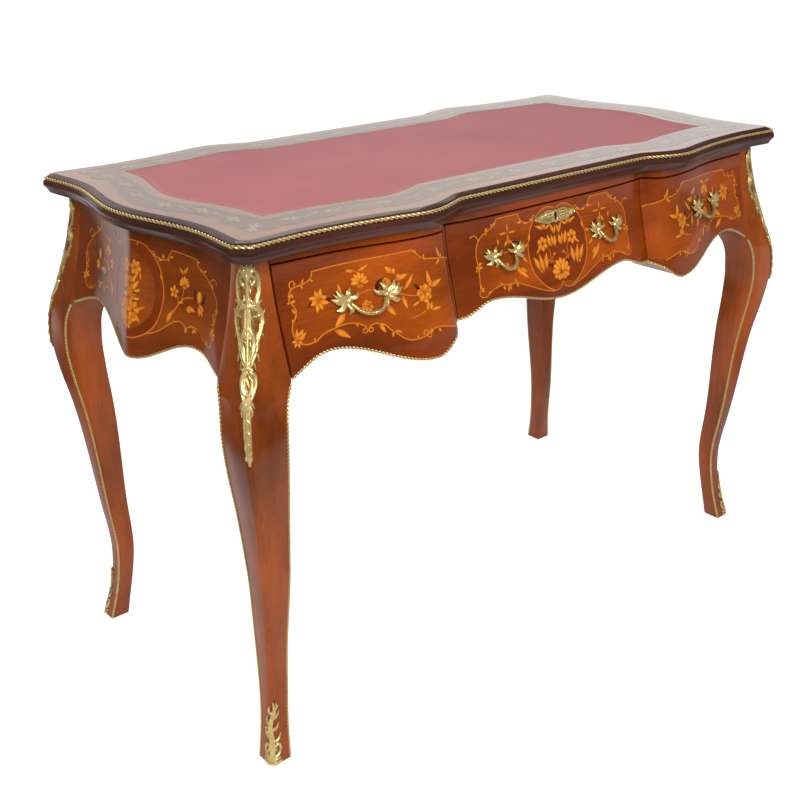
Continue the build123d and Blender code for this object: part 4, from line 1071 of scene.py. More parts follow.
def centre_drawing(ink):
    """An oval with a bouquet between two cartouches; half of it, the other half is its mirror image."""
    ink.field([(-163.5, 672, -163.5, 668), (-162.5, 684, -164, 655), (-160, 697, -165, 642),
               (-155, 706, -164, 634), (-148, 713, -158, 631), (-138, 718, -150, 633),
               (-127, 722.5, -140, 637.5), (-121, 731, -130, 639.5), (-110, 732, -115, 639),
               (-95, 732, -98, 638), (-79, 732, -84, 634), (-73, 724, -76, 631), (-65, 717.5, -67, 627),
               (-56, 717, -58, 622.5), (-42, 720, -44, 617), (-31, 727, -33, 613.5),
               (-18, 731.5, -18, 611.5), (-8, 731, -9, 612), (0, 729, 0, 620)], 110)
    ink.field([(-42, 720, 0, 729), (-50, 712, 0, 716), (-57, 700, 0, 702), (-62, 685, 0, 686),
               (-63, 670, 0, 670), (-61, 655, 0, 655), (-56, 642, 0, 642), (-45, 628.5, 0, 630),
               (-32, 618, 0, 621)], 60, True)
    ink.string([(-120, 732), (-78, 732)], 1.9)
    ink.string([(-120, 732), (-124, 724), (-130, 721), (-140, 717), (-150, 712), (-157, 705), (-161, 697),
                (-163, 685), (-162, 670), (-163, 655), (-165, 641), (-167, 634), (-162, 630), (-155, 630),
                (-148, 634), (-138, 638), (-125, 640), (-110, 638.5), (-96, 638), (-80, 632), (-65, 626),
                (-50, 619.5), (-35, 614.5), (-20, 611), (-9, 612), (-2.5, 616), (-0.8, 622)],
               2.2, (1.0, 0.8))
    ink.string([(-78, 732), (-75, 726), (-70, 720), (-62, 717), (-50, 717), (-42, 720)], 2.0)
    ink.curl(-156, 706, 75, 13, 0.30, 1, 1.9)
    ink.leaves(-143, 716, (55, 8, 3.6, 0), (-50, 5, 3, 0))
    ink.leaves(-127, 723, (150, 6, 3, 0), (60, 6, 3, 0))
    ink.leaves(-162, 672, (60, 10, 4.4, -60), (-40, 9, 4, 60), (185, 5, 3, 0))
    ink.curl(-162, 664, 35, 4.2, 0.7, 1, 1.9)
    ink.leaves(-164, 640, (78, 9, 4, 10), (20, 8, 4, 0), (-20, 7, 3.4, 0))
    ink.leaves(-152, 632, (40, 7, 3.4, 0))
    ink.leaves(-122, 639.5, (-70, 8, 4, 10), (150, 7, 3, -10))
    ink.leaves(-112, 638, (-45, 9, 5, -20), (-100, 10, 4, 10), (10, 9, 3.6, -20))
    ink.leaves(-96, 637.5, (-60, 7, 4, 0), (100, 7, 3.4, 0))
    ink.leaves(-68, 718.5, (170, 12, 4, 14), (150, 8, 3, 0), (-30, 10, 3.4, 20))
    ink.leaves(-55, 717, (30, 9, 4, 0))
    ink.string([(-42, 720), (-50, 712), (-57, 700), (-62, 685), (-63, 670), (-61, 655), (-56, 642),
                (-45, 628.5), (-32, 618), (-20, 612)], 2.3)
    ink.string([(-42, 720), (-31, 728), (-17, 732), (-1, 727.5)], 2.1)
    ink.curl(-42, 722, 105, 4.2, 0.6, 1, 1.8)
    ink.leaf(-61, 688, 62, 13, 5, 10)
    # flank: cross flower, leaves round the plates
    for angle, length in ((90, 13), (0, 17), (180, 17), (-90, 16)):
        ink.leaf(-100, 709, angle, length, 4.0, 0, 0.80)
    ink.leaf(-99, 700, -58, 12, 5, 20)
    ink.leaf(-101, 700, -122, 12, 5, -20)
    ink.shade(-94, 695, -14, 15, 5, 10)
    ink.string([(-112, 682), (-104, 683), (-97, 682)], 1.5)
    ink.leaf(-120, 694, 86, 10, 4, 18)
    ink.leaf(-94, 664, -50, 34, 9.5, 8)
    ink.leaf(-86, 657, -14, 17, 5, -30)
    ink.leaf(-79, 672, -30, 15, 5, -24)
    ink.leaf(-107, 660, 100, 9, 7, 0)
    ink.leaf(-74, 683, 20, 12, 5, -10)
    # bouquet, mirrored halves
    ink.string([(-3, 652), (-10, 652), (-18, 655), (-19, 668), (-22, 674), (-28, 681)], 1.4)
    ink.string([(-18, 651), (-22, 656), (-31, 657)], 1.4)
    ink.string([(-18, 653), (-15, 659), (-10, 662)], 1.3)
    ink.disc(-10, 663, 2.2, 0.85, 0.3)
    ink.flower(-32, 681, 10.5, 6, 30, 0.8)
    ink.leaf(-37, 676, 205, 12, 4, 12)
    ink.leaf(-14, 673, 118, 20, 9.5, -20)
    ink.leaf(-9, 673, 64, 17, 9, 18)
    ink.leaf(-11, 676, 92, 15, 6, 0)
    for angle, length, wide in ((158, 20, 6), (120, 9, 6), (84, 8, 5), (20, 14, 5)):
        ink.leaf(-25, 701, angle, length, wide, 0)
    ink.leaf(-5, 689, 104, 20, 6, 18)
    ink.leaf(-6, 690, 76, 15, 5, -10)
    for dx, bend in ((-9, 26), (0, 8), (8, -18)):
        ink.leaf(-37 + dx * 0.8, 640 + abs(dx) * 0.4, 96 - dx * 0.6, 29 - abs(dx) * 0.5, 9.5, bend)
    ink.leaf(-38, 643, 180, 8, 5, -30)
    ink.shade(-12, 645, 150, 16, 8, 20)
    # heart carnation on the axis
    for spread, count, length in ((78, 7, 22), (48, 5, 17), (22, 3, 12)):
        for a in np.linspace(-spread, spread, count):
            ink.leaf(0, 634, 90 + a, length * (1 - 0.1 * abs(a) / spread), 9.5, -6 * np.sign(a),
                     0.9, True, True)
    for a in np.linspace(-62, 62, 5):
        ink.leaf(0, 637, -90 + a, 12 + 6 * abs(a) / 62, 9, 0, 0.84, True, True)
    ink.disc(0, 636, 3.4, 0.5, 0.3, True)


def end_drawing(ink):
    """The larger oval with its darker band, between two cartouches."""
    ink.field([(-181, 674, -181, 670), (-178.5, 685, -179, 656), (-170, 694, -176.5, 645),
               (-160, 702, -178, 635), (-151, 710, -175, 627), (-141, 714, -168, 624.5),
               (-133, 721, -159, 627), (-130, 728, -150, 632.5), (-115, 729, -136, 640),
               (-98, 730, -116, 637), (-81, 731, -104, 641), (-76, 724, -94, 640), (-69, 717, -80, 632.5),
               (-60, 717, -68, 625), (-42, 722, -52, 616), (-31, 729, -38, 612), (-15, 733, -20, 604),
               (0, 733, 0, 599.5)], 110)
    ink.field([(0, 733, 0, 718), (-15, 733, -10, 718), (-30, 730, -22, 714), (-42, 722, -33, 707),
               (-55, 708, -43, 695), (-63, 690, -49, 682), (-67.5, 670, -52, 668), (-65, 650, -50, 652),
               (-58, 632, -44, 638), (-45, 617, -34, 628), (-30, 608, -22, 619), (-15, 602, -10, 614),
               (0, 599.5, 0, 613)], 70, True)
    ink.string([(-130, 728), (-81, 731)], 1.9)
    ink.string([(-130, 728), (-132, 722), (-140, 714), (-150, 710), (-160, 702), (-170, 693), (-178, 685),
                (-181, 672), (-179, 655), (-176, 645), (-178, 635), (-175, 627), (-168, 624), (-158, 627),
                (-150, 633)], 2.3, (1.0, 0.7))
    ink.string([(-140, 639.5), (-126, 640), (-115, 636), (-105, 641), (-95, 640), (-80, 632.5),
                (-65, 622.5), (-50, 615.5), (-40, 612)], 2.2)
    ink.string([(-81, 731), (-76, 724), (-70, 716.5), (-60, 716.5), (-50, 718), (-42, 722)], 2.0)
    ink.curl(-160, 703, 92, 11, 0.42, 1, 1.8)
    ink.curl(-42, 722, 105, 4.4, 0.6, 1, 1.8)
    ink.leaves(-143, 713, (150, 9, 4, 10), (40, 7, 3, 0))
    ink.leaves(-161, 702, (-160, 9, 4, 10))
    ink.leaves(-131, 724, (170, 6, 3, 0))
    ink.leaves(-76, 720, (150, 8, 3.4, 20), (-60, 6, 3, 0))
    ink.leaves(-64, 716.5, (70, 8, 3.4, 20), (110, 6, 3, 0), (-20, 9, 4, 10))
    ink.curl(-179, 668, 30, 4.4, 0.75, 1, 1.9)
    ink.curl(-178, 666, 60, 4.0, 0.7, -1, 1.9)
    ink.leaves(-178, 656, (70, 8, 4, 0), (-20, 7, 3.4, 0))
    ink.leaves(-177, 640, (95, 12, 5, 10), (60, 11, 5, 0), (150, 9, 5, 0), (20, 9, 4, 0), (-150, 8, 4, 0))
    ink.leaves(-165, 624.5, (60, 7, 3, 0))
    ink.leaves(-133, 639.5, (-70, 9, 5, 10), (-115, 8, 4, 0), (10, 8, 3.4, 0))
    ink.leaves(-117, 637, (-80, 9, 4.4, 20), (-40, 6, 3, 0))
    ink.string([(-42, 722), (-55, 708), (-63, 690), (-67.5, 670), (-65, 650), (-58, 632), (-45, 617),
                (-30, 608), (-15, 602), (0, 599.5)], 2.4)
    ink.string([(-42, 722), (-30, 730), (-15, 733), (0, 733)], 2.1)
    ink.leaf(-64, 688, 50, 10, 3.6, 10)
    ink.leaf(-16, 732.5, -90, 5, 2.6, 0)
    # flank spray
    ink.string([(-79, 637), (-90, 654), (-97, 663), (-106, 672), (-125, 677)], 2.2, (1.5, 0.8))
    ink.leaf(-76, 634, 122, 22, 8, -8)
    ink.string([(-97, 663), (-103, 672), (-105, 684)], 1.6)
    ink.leaf(-95, 664, 150, 12, 4.4, 30)
    ink.carnation(-106, 690, 90, 11.5)
    ink.leaves(-105, 703, (125, 14, 4.4, -10), (35, 13, 4.4, 10), (92, 8, 3.4, 0))
    ink.shade(-146, 672, 96, 17, 10, 20)
    ink.shade(-132, 674, 80, 17, 11, -20)
    ink.tulip(-138, 670, 92, 18)
    for angle, length in ((230, 17), (255, 15), (205, 13)):
        ink.leaf(-138, 671, angle, length, 6.5, 10)
    ink.string([(-96, 664), (-94, 672), (-88, 679)], 1.5)
    ink.flower(-87, 678, 8.5, 5, 20, 0.7)
    ink.leaf(-112, 661, 170, 20, 8, 24)
    ink.leaf(-112, 661, 205, 10, 5, 0)
    # bouquet in the oval
    ink.flower(-12, 697, 11, 6, 10, 0.75)
    ink.leaf(-20, 693, 250, 12, 4, 10)
    ink.leaf(-36, 650, -40, 26, 4.2, 40)
    for k, (length, wide) in enumerate(((20, 9), (22, 9), (21, 9), (18, 8))):
        ink.leaf(-4, 650 + 8 * k, 165 - 10 * k, length, wide, -12, 0.9 - 0.06 * (k % 2))
    ink.shade(-6, 663, 182, 17, 5, -6)
    ink.flower(-11, 640, 13, 6, 0, 0.8)
    ink.leaf(-14, 636, 228, 17, 6, -12)
    ink.leaf(-3, 622, 150, 22, 7, 24)
    ink.shade(-6, 652, 176, 16, 5, 0)
    ink.rose(0, 655, 12, 0, True)
    ink.rose(0, 675, 10, 20, True)
    ink.flower(0, 622, 11, 7, 0, 0.7, once=True)


def top_drawing(ink):
    """A quarter of the border round the leather: a darker band between wavy strings, with flowers."""
    outer_end = [(-513, -208), (-512, -190), (-516, -176), (-512, -160), (-508, -150), (-512, -120),
                 (-520, -95), (-535, -60), (-542, -30), (-546, 0)]
    outer_side = [(-513, -208), (-506, -222), (-494, -232), (-482, -236), (-465, -233), (-450, -237),
                  (-430, -234), (-410, -236), (-385, -238), (-362, -237), (-345, -241), (-325, -243),
                  (-308, -249), (-290, -252), (-270, -252), (-250, -249), (-232, -244), (-214, -238),
                  (-198, -232), (-182, -228), (-160, -230), (-135, -227), (-105, -230), (-75, -227),
                  (-45, -231), (-20, -228), (0, -230)]
    inner_side = [(-452, -197), (-436, -190), (-418, -187), (-400, -188), (-382, -193), (-366, -195),
                  (-350, -192), (-330, -197), (-312, -204), (-292, -208), (-270, -208), (-252, -210),
                  (-234, -208), (-216, -200), (-200, -194), (-182, -189), (-160, -191), (-130, -189),
                  (-100, -192), (-70, -189), (-40, -191), (0, -189)]
    inner_end = [(-452, -197), (-466, -192), (-472, -184), (-469, -172), (-474, -160), (-478, -140),
                 (-480, -115), (-487, -85), (-496, -55), (-503, -25), (-505, 0)]
    for outer, inner in ((outer_side, inner_side), (outer_end, inner_end)):
        ink.string(outer, 1.9)
        ink.string(inner, 1.7)
        ink.field(np.hstack([curve(outer, 60), curve(inner, 60)]), 120, True)
    for x, y, turn in ((-440, -212, 80), (-376, -215, 100), (-300, -226, 90), (-205, -216, 70),
                       (-120, -210, 90), (-36, -210, 90)):
        ink.flower(x, y, 10, 6, turn, 0.7, 0.9)
        ink.leaves(x, y, (turn - 90, 22, 6, 12), (turn + 90, 22, 6, -12), (turn - 130, 15, 5, 0),
                   (turn + 50, 15, 5, 0))
    for x, y in ((-408, -213), (-340, -218), (-252, -229), (-162, -210), (-78, -210)):
        ink.leaves(x, y, (10, 17, 4.6, 30), (190, 17, 4.6, 30))
        ink.disc(x, y, 2.6, 0.9)
    for angle, length in ((225, 22), (200, 18), (250, 18), (45, 24), (70, 17), (20, 17)):
        ink.leaf(-499, -218, angle, length, 6.5, 0, 0.92)
    ink.disc(-499, -218, 3.2, 0.9)
    for x, y in ((-494, -165), (-500, -100), (-519, -38)):
        ink.flower(x, y, 9, 6, 20, 0.7, 0.9)
        ink.leaves(x, y, (82, 20, 6, 12), (262, 20, 6, 12), (40, 13, 4.6, 0), (220, 13, 4.6, 0))
    for x, y in ((-495, -132), (-510, -70)):
        ink.leaves(x, y, (75, 16, 4.6, 24), (255, 16, 4.6, 24))
    for x, y, angle in ((-474, -235, 60), (-395, -237, 100), (-318, -245, 70), (-228, -242, 120),
                        (-140, -228, 80), (-60, -229, 100), (-470, -178, 20), (-424, -188, 250),
                        (-345, -193, 280), (-262, -209, 270), (-170, -190, 265), (-90, -191, 275)):
        ink.leaf(x, y, angle, 9, 3.6, 20)
        ink.leaf(x, y, angle + 70, 7, 3.2, -20)


def on_top(x, y, lift):
    """The border is narrower at the back, where the leather lies nearer the edge."""
    edge = top_front(x) - MOULD_WIDTH
    squeeze = 1 - smooth((y - 60) / 60) * LEATHER_BACK / (edge - LEATHER_HALF_Y - LEATHER_SWELL * swell(x))
    y = np.where(y > 60, edge - (edge - y) * squeeze, y)
    return np.stack(np.broadcast_arrays(x, y, TOP_Z + min(lift, TOP_LIFT)), -1)


def marquetry():
    """Each drawing on the faces that carry it, turned over or doubled by its flips."""
    as_drawn, mirrored, both = ((1, 1),), ((-1, 1),), ((1, 1), (-1, 1))
    for name, body, side, drawing, flips in (
            ("drawer_left", "drawer_left", at_front, side_drawing, as_drawn),
            ("drawer_right", "drawer_right", at_front, side_drawing, mirrored),
            ("back_apron_right", "carcase", at_back, side_drawing, as_drawn),
            ("back_apron_left", "carcase", at_back, side_drawing, mirrored),
            ("drawer_centre", "drawer_centre", at_front, centre_drawing, both),
            ("back_apron_centre", "carcase", at_back, centre_drawing, both),
            ("end_panel_left", "carcase", at_left, end_drawing, both),
            ("end_panel_right", "carcase", at_right, end_drawing, both)):
        reach, wood = (end_reach, END_FIELD_WOOD) if drawing is end_drawing else (front_reach, FIELD_WOOD)
        ink = Inlay(lambda s, t, lift: side(s, reach(s, t) + lift, t), outward(side), flips)
        drawing(ink)
        ink.finish(name, body, wood)
    ink = Inlay(on_top, (0, 0, 1), ((1, 1), (-1, 1), (1, -1), (-1, -1)))
    top_drawing(ink)
    ink.dark.make("top_inlay_band", "carcase", TOP_BAND_WOOD, "veneer", (), 80)
    ink.wood.make("top_inlay", "carcase", TOP_INLAY_WOOD, "veneer", (), 80)


# ---------------------------------------------------------------- cast brass
SUNK, EDGE_HIGH = -1.2, 0.9     # how deep a casting's open places lie, and how high a ridge's wall is


class Relief:
    """Height of a casting over its ground, sampled on a grid: the highest of the strands laid over it."""

    def __init__(self, a0, a1, b0, b1, step):
        self.a, self.b = np.meshgrid(np.arange(a0, a1 + step, step), np.arange(b0, b1 + step, step),
                                     indexing="ij")
        self.high = np.full(self.a.shape, SUNK)

    def strand(self, points, wide, high, flutes=0):
        """A rounded ridge along a line; half its width runs through the given values.

        Flutes are grooves along it, a cosine of the place across the ridge.
        """
        line = curve(points, max(int(lengths(points).sum() / 0.9), 8))
        u = np.linspace(0, 1, len(line))
        half = np.interp(u, np.linspace(0, 1, len(wide)), wide)
        ahead = heading_of(line)
        reach = max(wide) + 1
        near = ((self.a > line[:, 0].min() - reach) & (self.a < line[:, 0].max() + reach)
                & (self.b > line[:, 1].min() - reach) & (self.b < line[:, 1].max() + reach))
        away = np.stack([self.a[near], self.b[near]], -1)[:, None] - line
        gap = np.linalg.norm(away, axis=2)
        at = gap.argmin(1)
        pick = np.arange(len(at))
        d, w = gap[pick, at], half[at]
        side = (ahead[at, 0] * away[pick, at, 1] - ahead[at, 1] * away[pick, at, 0]) / w
        r = np.clip(d / w, 0, 1)
        crown = np.sqrt(1 - r ** 2)
        if flutes:
            crown = crown * (0.8 + 0.2 * np.cos(pi * flutes * side))
        wall = np.clip((w - d) / 0.5, 0, 1)
        height = np.where(d < w, EDGE_HIGH * wall + (high - EDGE_HIGH) * crown, -2.4 * (d - w))
        self.high[near] = np.maximum(self.high[near], np.clip(height, SUNK, None))

    def both(self, points, wide, high, flutes=0):
        """The strand and its mirror image."""
        for sign in (1, -1):
            self.strand([(sign * a, b) for a, b in points], wide, high, flutes)

    def lay(self, shape, place, outward):
        """Adds what stands over the ground to a shape; painted shade makes the hollows darker, by a tone
        that falls with the height.
        """
        faces = quads(*self.high.shape)
        faces = faces[(self.high.ravel()[faces] > -1.1).any(1)]
        points = place(self.a, self.b, self.high).reshape(-1, 3)
        faces = turned(points, faces, outward)
        used, index = np.unique(faces, return_inverse=True)
        # painted shade: the lower a point of the casting lies, the lower its tone
        tone = np.clip(0.12 + self.high / 4.2, 0, 1).ravel()[used]
        shape.add(points[used], [index.reshape(-1, 4)], tone)


def leg_corner(a, z, lift):
    """Point at a distance round the leg's outer corner: half its cut edge, then along a face."""
    half = ARRIS / np.sqrt(2)
    past = np.clip(np.abs(a) - half, 0, None)
    on_cut = np.clip(a, -half, half) / np.sqrt(2)
    x = leg_x(z) - ARRIS / 2 - np.where(a > 0, on_cut + past, on_cut)
    y = leg_y(z) - ARRIS / 2 + np.where(a < 0, on_cut - past, on_cut)
    turn = radians(45) * (1 + np.sign(a) * smooth(np.abs(a) / 9))
    return np.stack([x + lift * np.cos(turn), y + lift * np.sin(turn), z + 0 * a], -1)


def mount_relief():
    """Pierced acanthus mount: palmette, two pairs of scrolled arms, streaming leaves, bundle and husks."""
    cast = Relief(-25, 25, 502.3, 747.5, 0.62)
    outline = through([(503, 2.2), (515, 4.4), (540, 5.3), (570, 5.8), (580, 6.4), (590, 7.4), (602, 9.8),
                       (612, 9.4), (621, 6.4), (628, 8.6), (636, 12.5), (645, 14), (656, 17), (668, 19.4),
                       (680, 20), (692, 17), (700, 15), (715, 16.4), (730, 14.2), (740, 10.6), (748, 8)])
    inside = outline(cast.b) - np.abs(cast.a)
    ground = np.clip(1.5 * inside, SUNK, 1.3) + 0.35 * np.sin(1.3 * cast.a + 0.5 * cast.b) * (inside > 0.6)
    cast.high = np.maximum(cast.high, ground)
    for tip, wide in (((0, 746), 2.6), ((5, 745), 2.4), ((9, 740), 2.4)):
        cast.both([(0, 724), (tip[0] * 0.55, 734), tip], (2.2, wide, 1.4), 3.6)
    cast.both([(2, 741), (8, 737), (13, 729), (15.4, 718), (14.6, 706), (11, 698), (6, 694)],
              (1.6, 2.8, 3.2, 3.0, 2.8, 2.6, 2.0), 3.8, 2)
    cast.both([(1, 732), (6, 730), (9, 724), (5, 719)], (1.8, 2.2, 2.0, 1.4), 3.0)
    cast.strand([(0, 730), (0, 712), (0.6, 698), (0, 684)], (2.6, 2.2, 2.8, 3.2), 4.3, 2)
    cast.both([(4, 702), (8, 698), (14, 697), (19, 700)], (2.0, 3.0, 2.4, 0.9), 3.2)
    cast.both([(1, 695), (7, 693), (13, 688), (14, 682), (8, 682)], (2.6, 3.2, 3.0, 2.2, 1.4), 3.9, 2)
    cast.both([(6, 698), (13, 694), (18, 686), (20, 676), (18, 666), (14, 657), (11, 649)],
              (2.2, 2.6, 2.8, 2.6, 2.8, 3.6, 3.2), 3.6, 2)
    cast.both([(17, 682), (21, 684), (23, 688)], (2.4, 1.8, 0.7), 2.8)
    cast.both([(18, 670), (22, 672), (24, 675)], (2.4, 1.7, 0.7), 2.8)
    cast.both([(17, 661), (20, 659), (21.5, 655)], (2.4, 1.7, 0.8), 2.6)
    cast.strand([(0, 688), (0, 672), (0, 658)], (4.2, 4.8, 4.4), 4.0, 3)
    cast.both([(2, 668), (6, 660), (8, 650), (5, 638), (2, 628)], (2.8, 3.4, 3.4, 2.8, 2.0), 3.7, 2)
    cast.both([(12, 656), (12, 646), (8, 636), (4, 627)], (3.2, 3.4, 2.8, 1.8), 3.2, 2)
    cast.strand([(0, 662), (0, 640), (0, 626)], (2.0, 2.3, 2.6), 4.5)
    cast.both([(8, 642), (12.5, 637), (15, 629)], (3.2, 2.4, 0.8), 3.0, 1)
    cast.both([(4, 633), (8, 627), (10, 620)], (2.6, 1.8, 0.7), 2.8)
    cast.strand([(-5, 622), (0, 624), (5, 622)], (2.2, 3.2, 2.2), 4.2)
    cast.strand([(-3, 618), (-6, 610), (-5.5, 601), (-2, 594)], (3.0, 4.6, 4.4, 2.0), 4.4, 2)
    cast.strand([(3, 620), (8.5, 615), (10.2, 606), (7, 595), (2.5, 585), (0.5, 576)],
                (2.0, 2.6, 2.6, 2.5, 2.3, 2.0), 4.3)
    cast.strand([(2, 615), (5, 609), (4.6, 600), (0.5, 590), (-2.5, 580)], (1.6, 2.0, 2.2, 2.2, 1.8), 3.8)
    cast.strand([(-8, 600), (-5, 591), (-2.5, 584)], (1.6, 2.0, 1.8), 3.2)
    cast.both([(1, 589), (6, 583), (9, 577)], (2.2, 2.2, 0.7), 3.0)
    cast.both([(1.5, 584), (6, 574), (5.5, 568)], (2.2, 2.0, 0.7), 3.2)
    cast.both([(2.6, 580), (2.9, 560), (2.6, 540), (2.2, 522), (1.0, 508)],
              (2.0, 2.3, 2.2, 2.0, 1.2), 3.4, 1)
    cast.strand([(0, 582), (0, 550), (0, 520), (0, 504.5)], (2.2, 2.4, 2.2, 1.5), 4.2)
    for z in (566, 551, 536, 521):
        cast.both([(0.3, z), (2.8, z - 5), (3.4, z - 10)], (1.3, 1.5, 0.7), 4.4)
    for at_a, at_b, lean in ((8.0, 709, 0.18), (11.6, 671, -0.08)):
        across = (np.abs(cast.a) - at_a - lean * (cast.b - at_b)) / 3.1
        hole = np.hypot(across, (cast.b - at_b) / 6.6)
        cast.high = np.where(hole < 1.35, np.minimum(cast.high, np.clip(9 * (hole - 1.0), SUNK, 4.5)),
                             cast.high)
    return cast


def sabot_relief():
    """Foot mount: a cup, two scrolls and a rising leaf that leans to one side."""
    cast = Relief(-15, 15, 0.4, 97.5, 0.6)
    cast.strand([(-12.5, 4), (0, 3), (12.5, 4)], (3.4, 3.6, 3.4), 3.0)
    cast.strand([(-11, 10), (0, 9), (11, 10)], (2.0, 2.4, 2.0), 3.4)
    cast.both([(3, 12), (9, 16), (11.6, 24), (8, 31), (3.6, 28), (5.5, 22)], (2.6, 3.0, 2.6, 2.4, 2.0, 1.6),
              3.8, 2)
    cast.strand([(0, 8), (0, 22), (-1, 40), (-3, 55), (-1, 68), (2.5, 80), (2, 95)],
                (4.0, 4.6, 4.2, 3.8, 3.4, 2.8, 1.2), 4.0, 3)
    for start, middle, tip in (((1, 34), (8, 38), (11.5, 46)), ((-2, 40), (-9, 44), (-11, 53)),
                               ((-2, 50), (5, 55), (8, 63)), ((-3, 58), (-8, 64), (-7, 73)),
                               ((0, 68), (6, 74), (9, 82)), ((1, 74), (-4, 80), (-3.5, 89)),
                               ((2, 82), (6, 88), (5, 95))):
        cast.strand([start, middle, tip], (2.6, 2.6, 0.9), 3.3, 1)
    return cast


def leg_brass():
    """Both castings on all four legs, mirrored from leg to leg."""
    for kind, cast in (("corner_mount", mount_relief()), ("sabot", sabot_relief())):
        for name, sx, sy in QUARTERS:
            flip = np.array([sx, sy, 1.0])
            mirror = sx * sy
            shape = Shape()
            cast.lay(shape, lambda a, z, lift: leg_corner(mirror * a, z, lift) * flip, (sx, sy, 0))
            node_name = f"{kind}_{name}"
            shape.make(node_name + "_cast", "carcase", GILT, "gilt_brass", [node_name], 80)


def lobe(shape, place, points, wide, high, around=8):
    """A closed tapering form along rows of (s, t, lift): an ellipse carried along them, with painted shade
    on the side towards the surface it stands on.
    """
    line = curve(points, 13)
    u = np.linspace(0, 1, 13)
    w, h = (np.interp(u, np.linspace(0, 1, len(v)), v) for v in (wide, high))
    ahead = np.gradient(line[:, :2], axis=0)
    ahead /= np.maximum(np.linalg.norm(ahead, axis=1), 1e-6)[:, None]
    theta = np.linspace(0, 2 * pi, around, endpoint=False)[:, None]
    s = line[:, 0] - w * np.cos(theta) * ahead[:, 1]
    t = line[:, 1] + w * np.cos(theta) * ahead[:, 0]
    lift = line[:, 2] + h * np.sin(theta)
    # painted shade: the tone is lowest on the side of the ellipse towards the surface
    shape.solid(place(s, t, lift), tone=np.clip(0.45 + 0.5 * np.sin(theta) + 0 * w, 0, 1))


def handle(name, body, x, z, apart, size):
    """Two leafy plates, one the mirror image of the other, and a knotty branch hung between them."""
    def place(s, t, lift):
        return at_front(x + s, front_reach(x + s, np.minimum(z + t, BELLY_TOP)) + lift, z + t)

    shape = Shape()
    leaves = (((8, 1), (15, 2), (24, 6), 1.0), ((6, 4), (11, 9), (15, 16), 0.95),
              ((0, 5), (-1, 10), (-6, 16), 0.9), ((-6, 3), (-11, 4), (-17, 9), 0.75),
              ((7, -4), (12, -8), (20, -9), 0.85), ((0, -6), (-2, -10), (2, -17), 0.8),
              ((10, 4), (16, 8), (21, 12), 0.6))
    for sign in (-1, 1):
        at = sign * apart
        for one, two, tip, wide in leaves:
            rows = [(at, 0, 1.8)]
            for (a, b), out in zip((one, two, tip), (3.2, 4.4, 1.6)):
                rows.append((at + sign * size * a, size * b, out))
            lobe(shape, place, rows, [wide * w * size for w in (3.4, 4.6, 4.2, 0.7)], (1.8, 2.2, 2.0, 0.9))
            rows = [(s, t, out + 1.6) for s, t, out in rows[1:]]
            lobe(shape, place, rows, (0.9, 0.8, 0.4), (0.9, 0.9, 0.5), 6)
        lobe(shape, place, [(at - 4, 0, 3.6), (at, 0.5, 4.6), (at + 4, 0, 3.6)], (1.6, 4.4, 1.6),
             (1.5, 2.6, 1.5), 10)
        lobe(shape, place, [(at, 0, -1.0), (at, 0.01, 2.0), (at, 0.02, 5.0)], (2.0, 2.0, 2.0),
             (1.0, 1.0, 1.0))
    turn = np.linspace(-1, 1, 61)
    drop = 1 - np.abs(turn) ** 2.6
    centre = place(apart * turn * 0.9, -4 - (BAIL_DROP - 5) * drop, 4.5 + (BAIL_PROUD - 9) * drop ** 0.7)
    radius = 2.5 + 0.5 * np.cos(2 * pi * 4.5 * turn) ** 2 + 0.6 * np.exp(-((turn - 0.25) / 0.16) ** 2)
    one, two = across(heading_of(centre), (0, 1.0, 0))
    theta = np.linspace(0, 2 * pi, 12, endpoint=False)[:, None, None]
    grain = 1 + 0.06 * np.cos(3 * theta + 9 * turn[None, :, None])
    # painted shade: the branch takes one middle tone, which darkens all of it a little
    shape.solid(centre + radius[:, None] * grain * (np.cos(theta) * one + np.sin(theta) * two), tone=0.6)
    shape.make(name + "_cast", body, GILT, "gilt_brass", [name], 60)


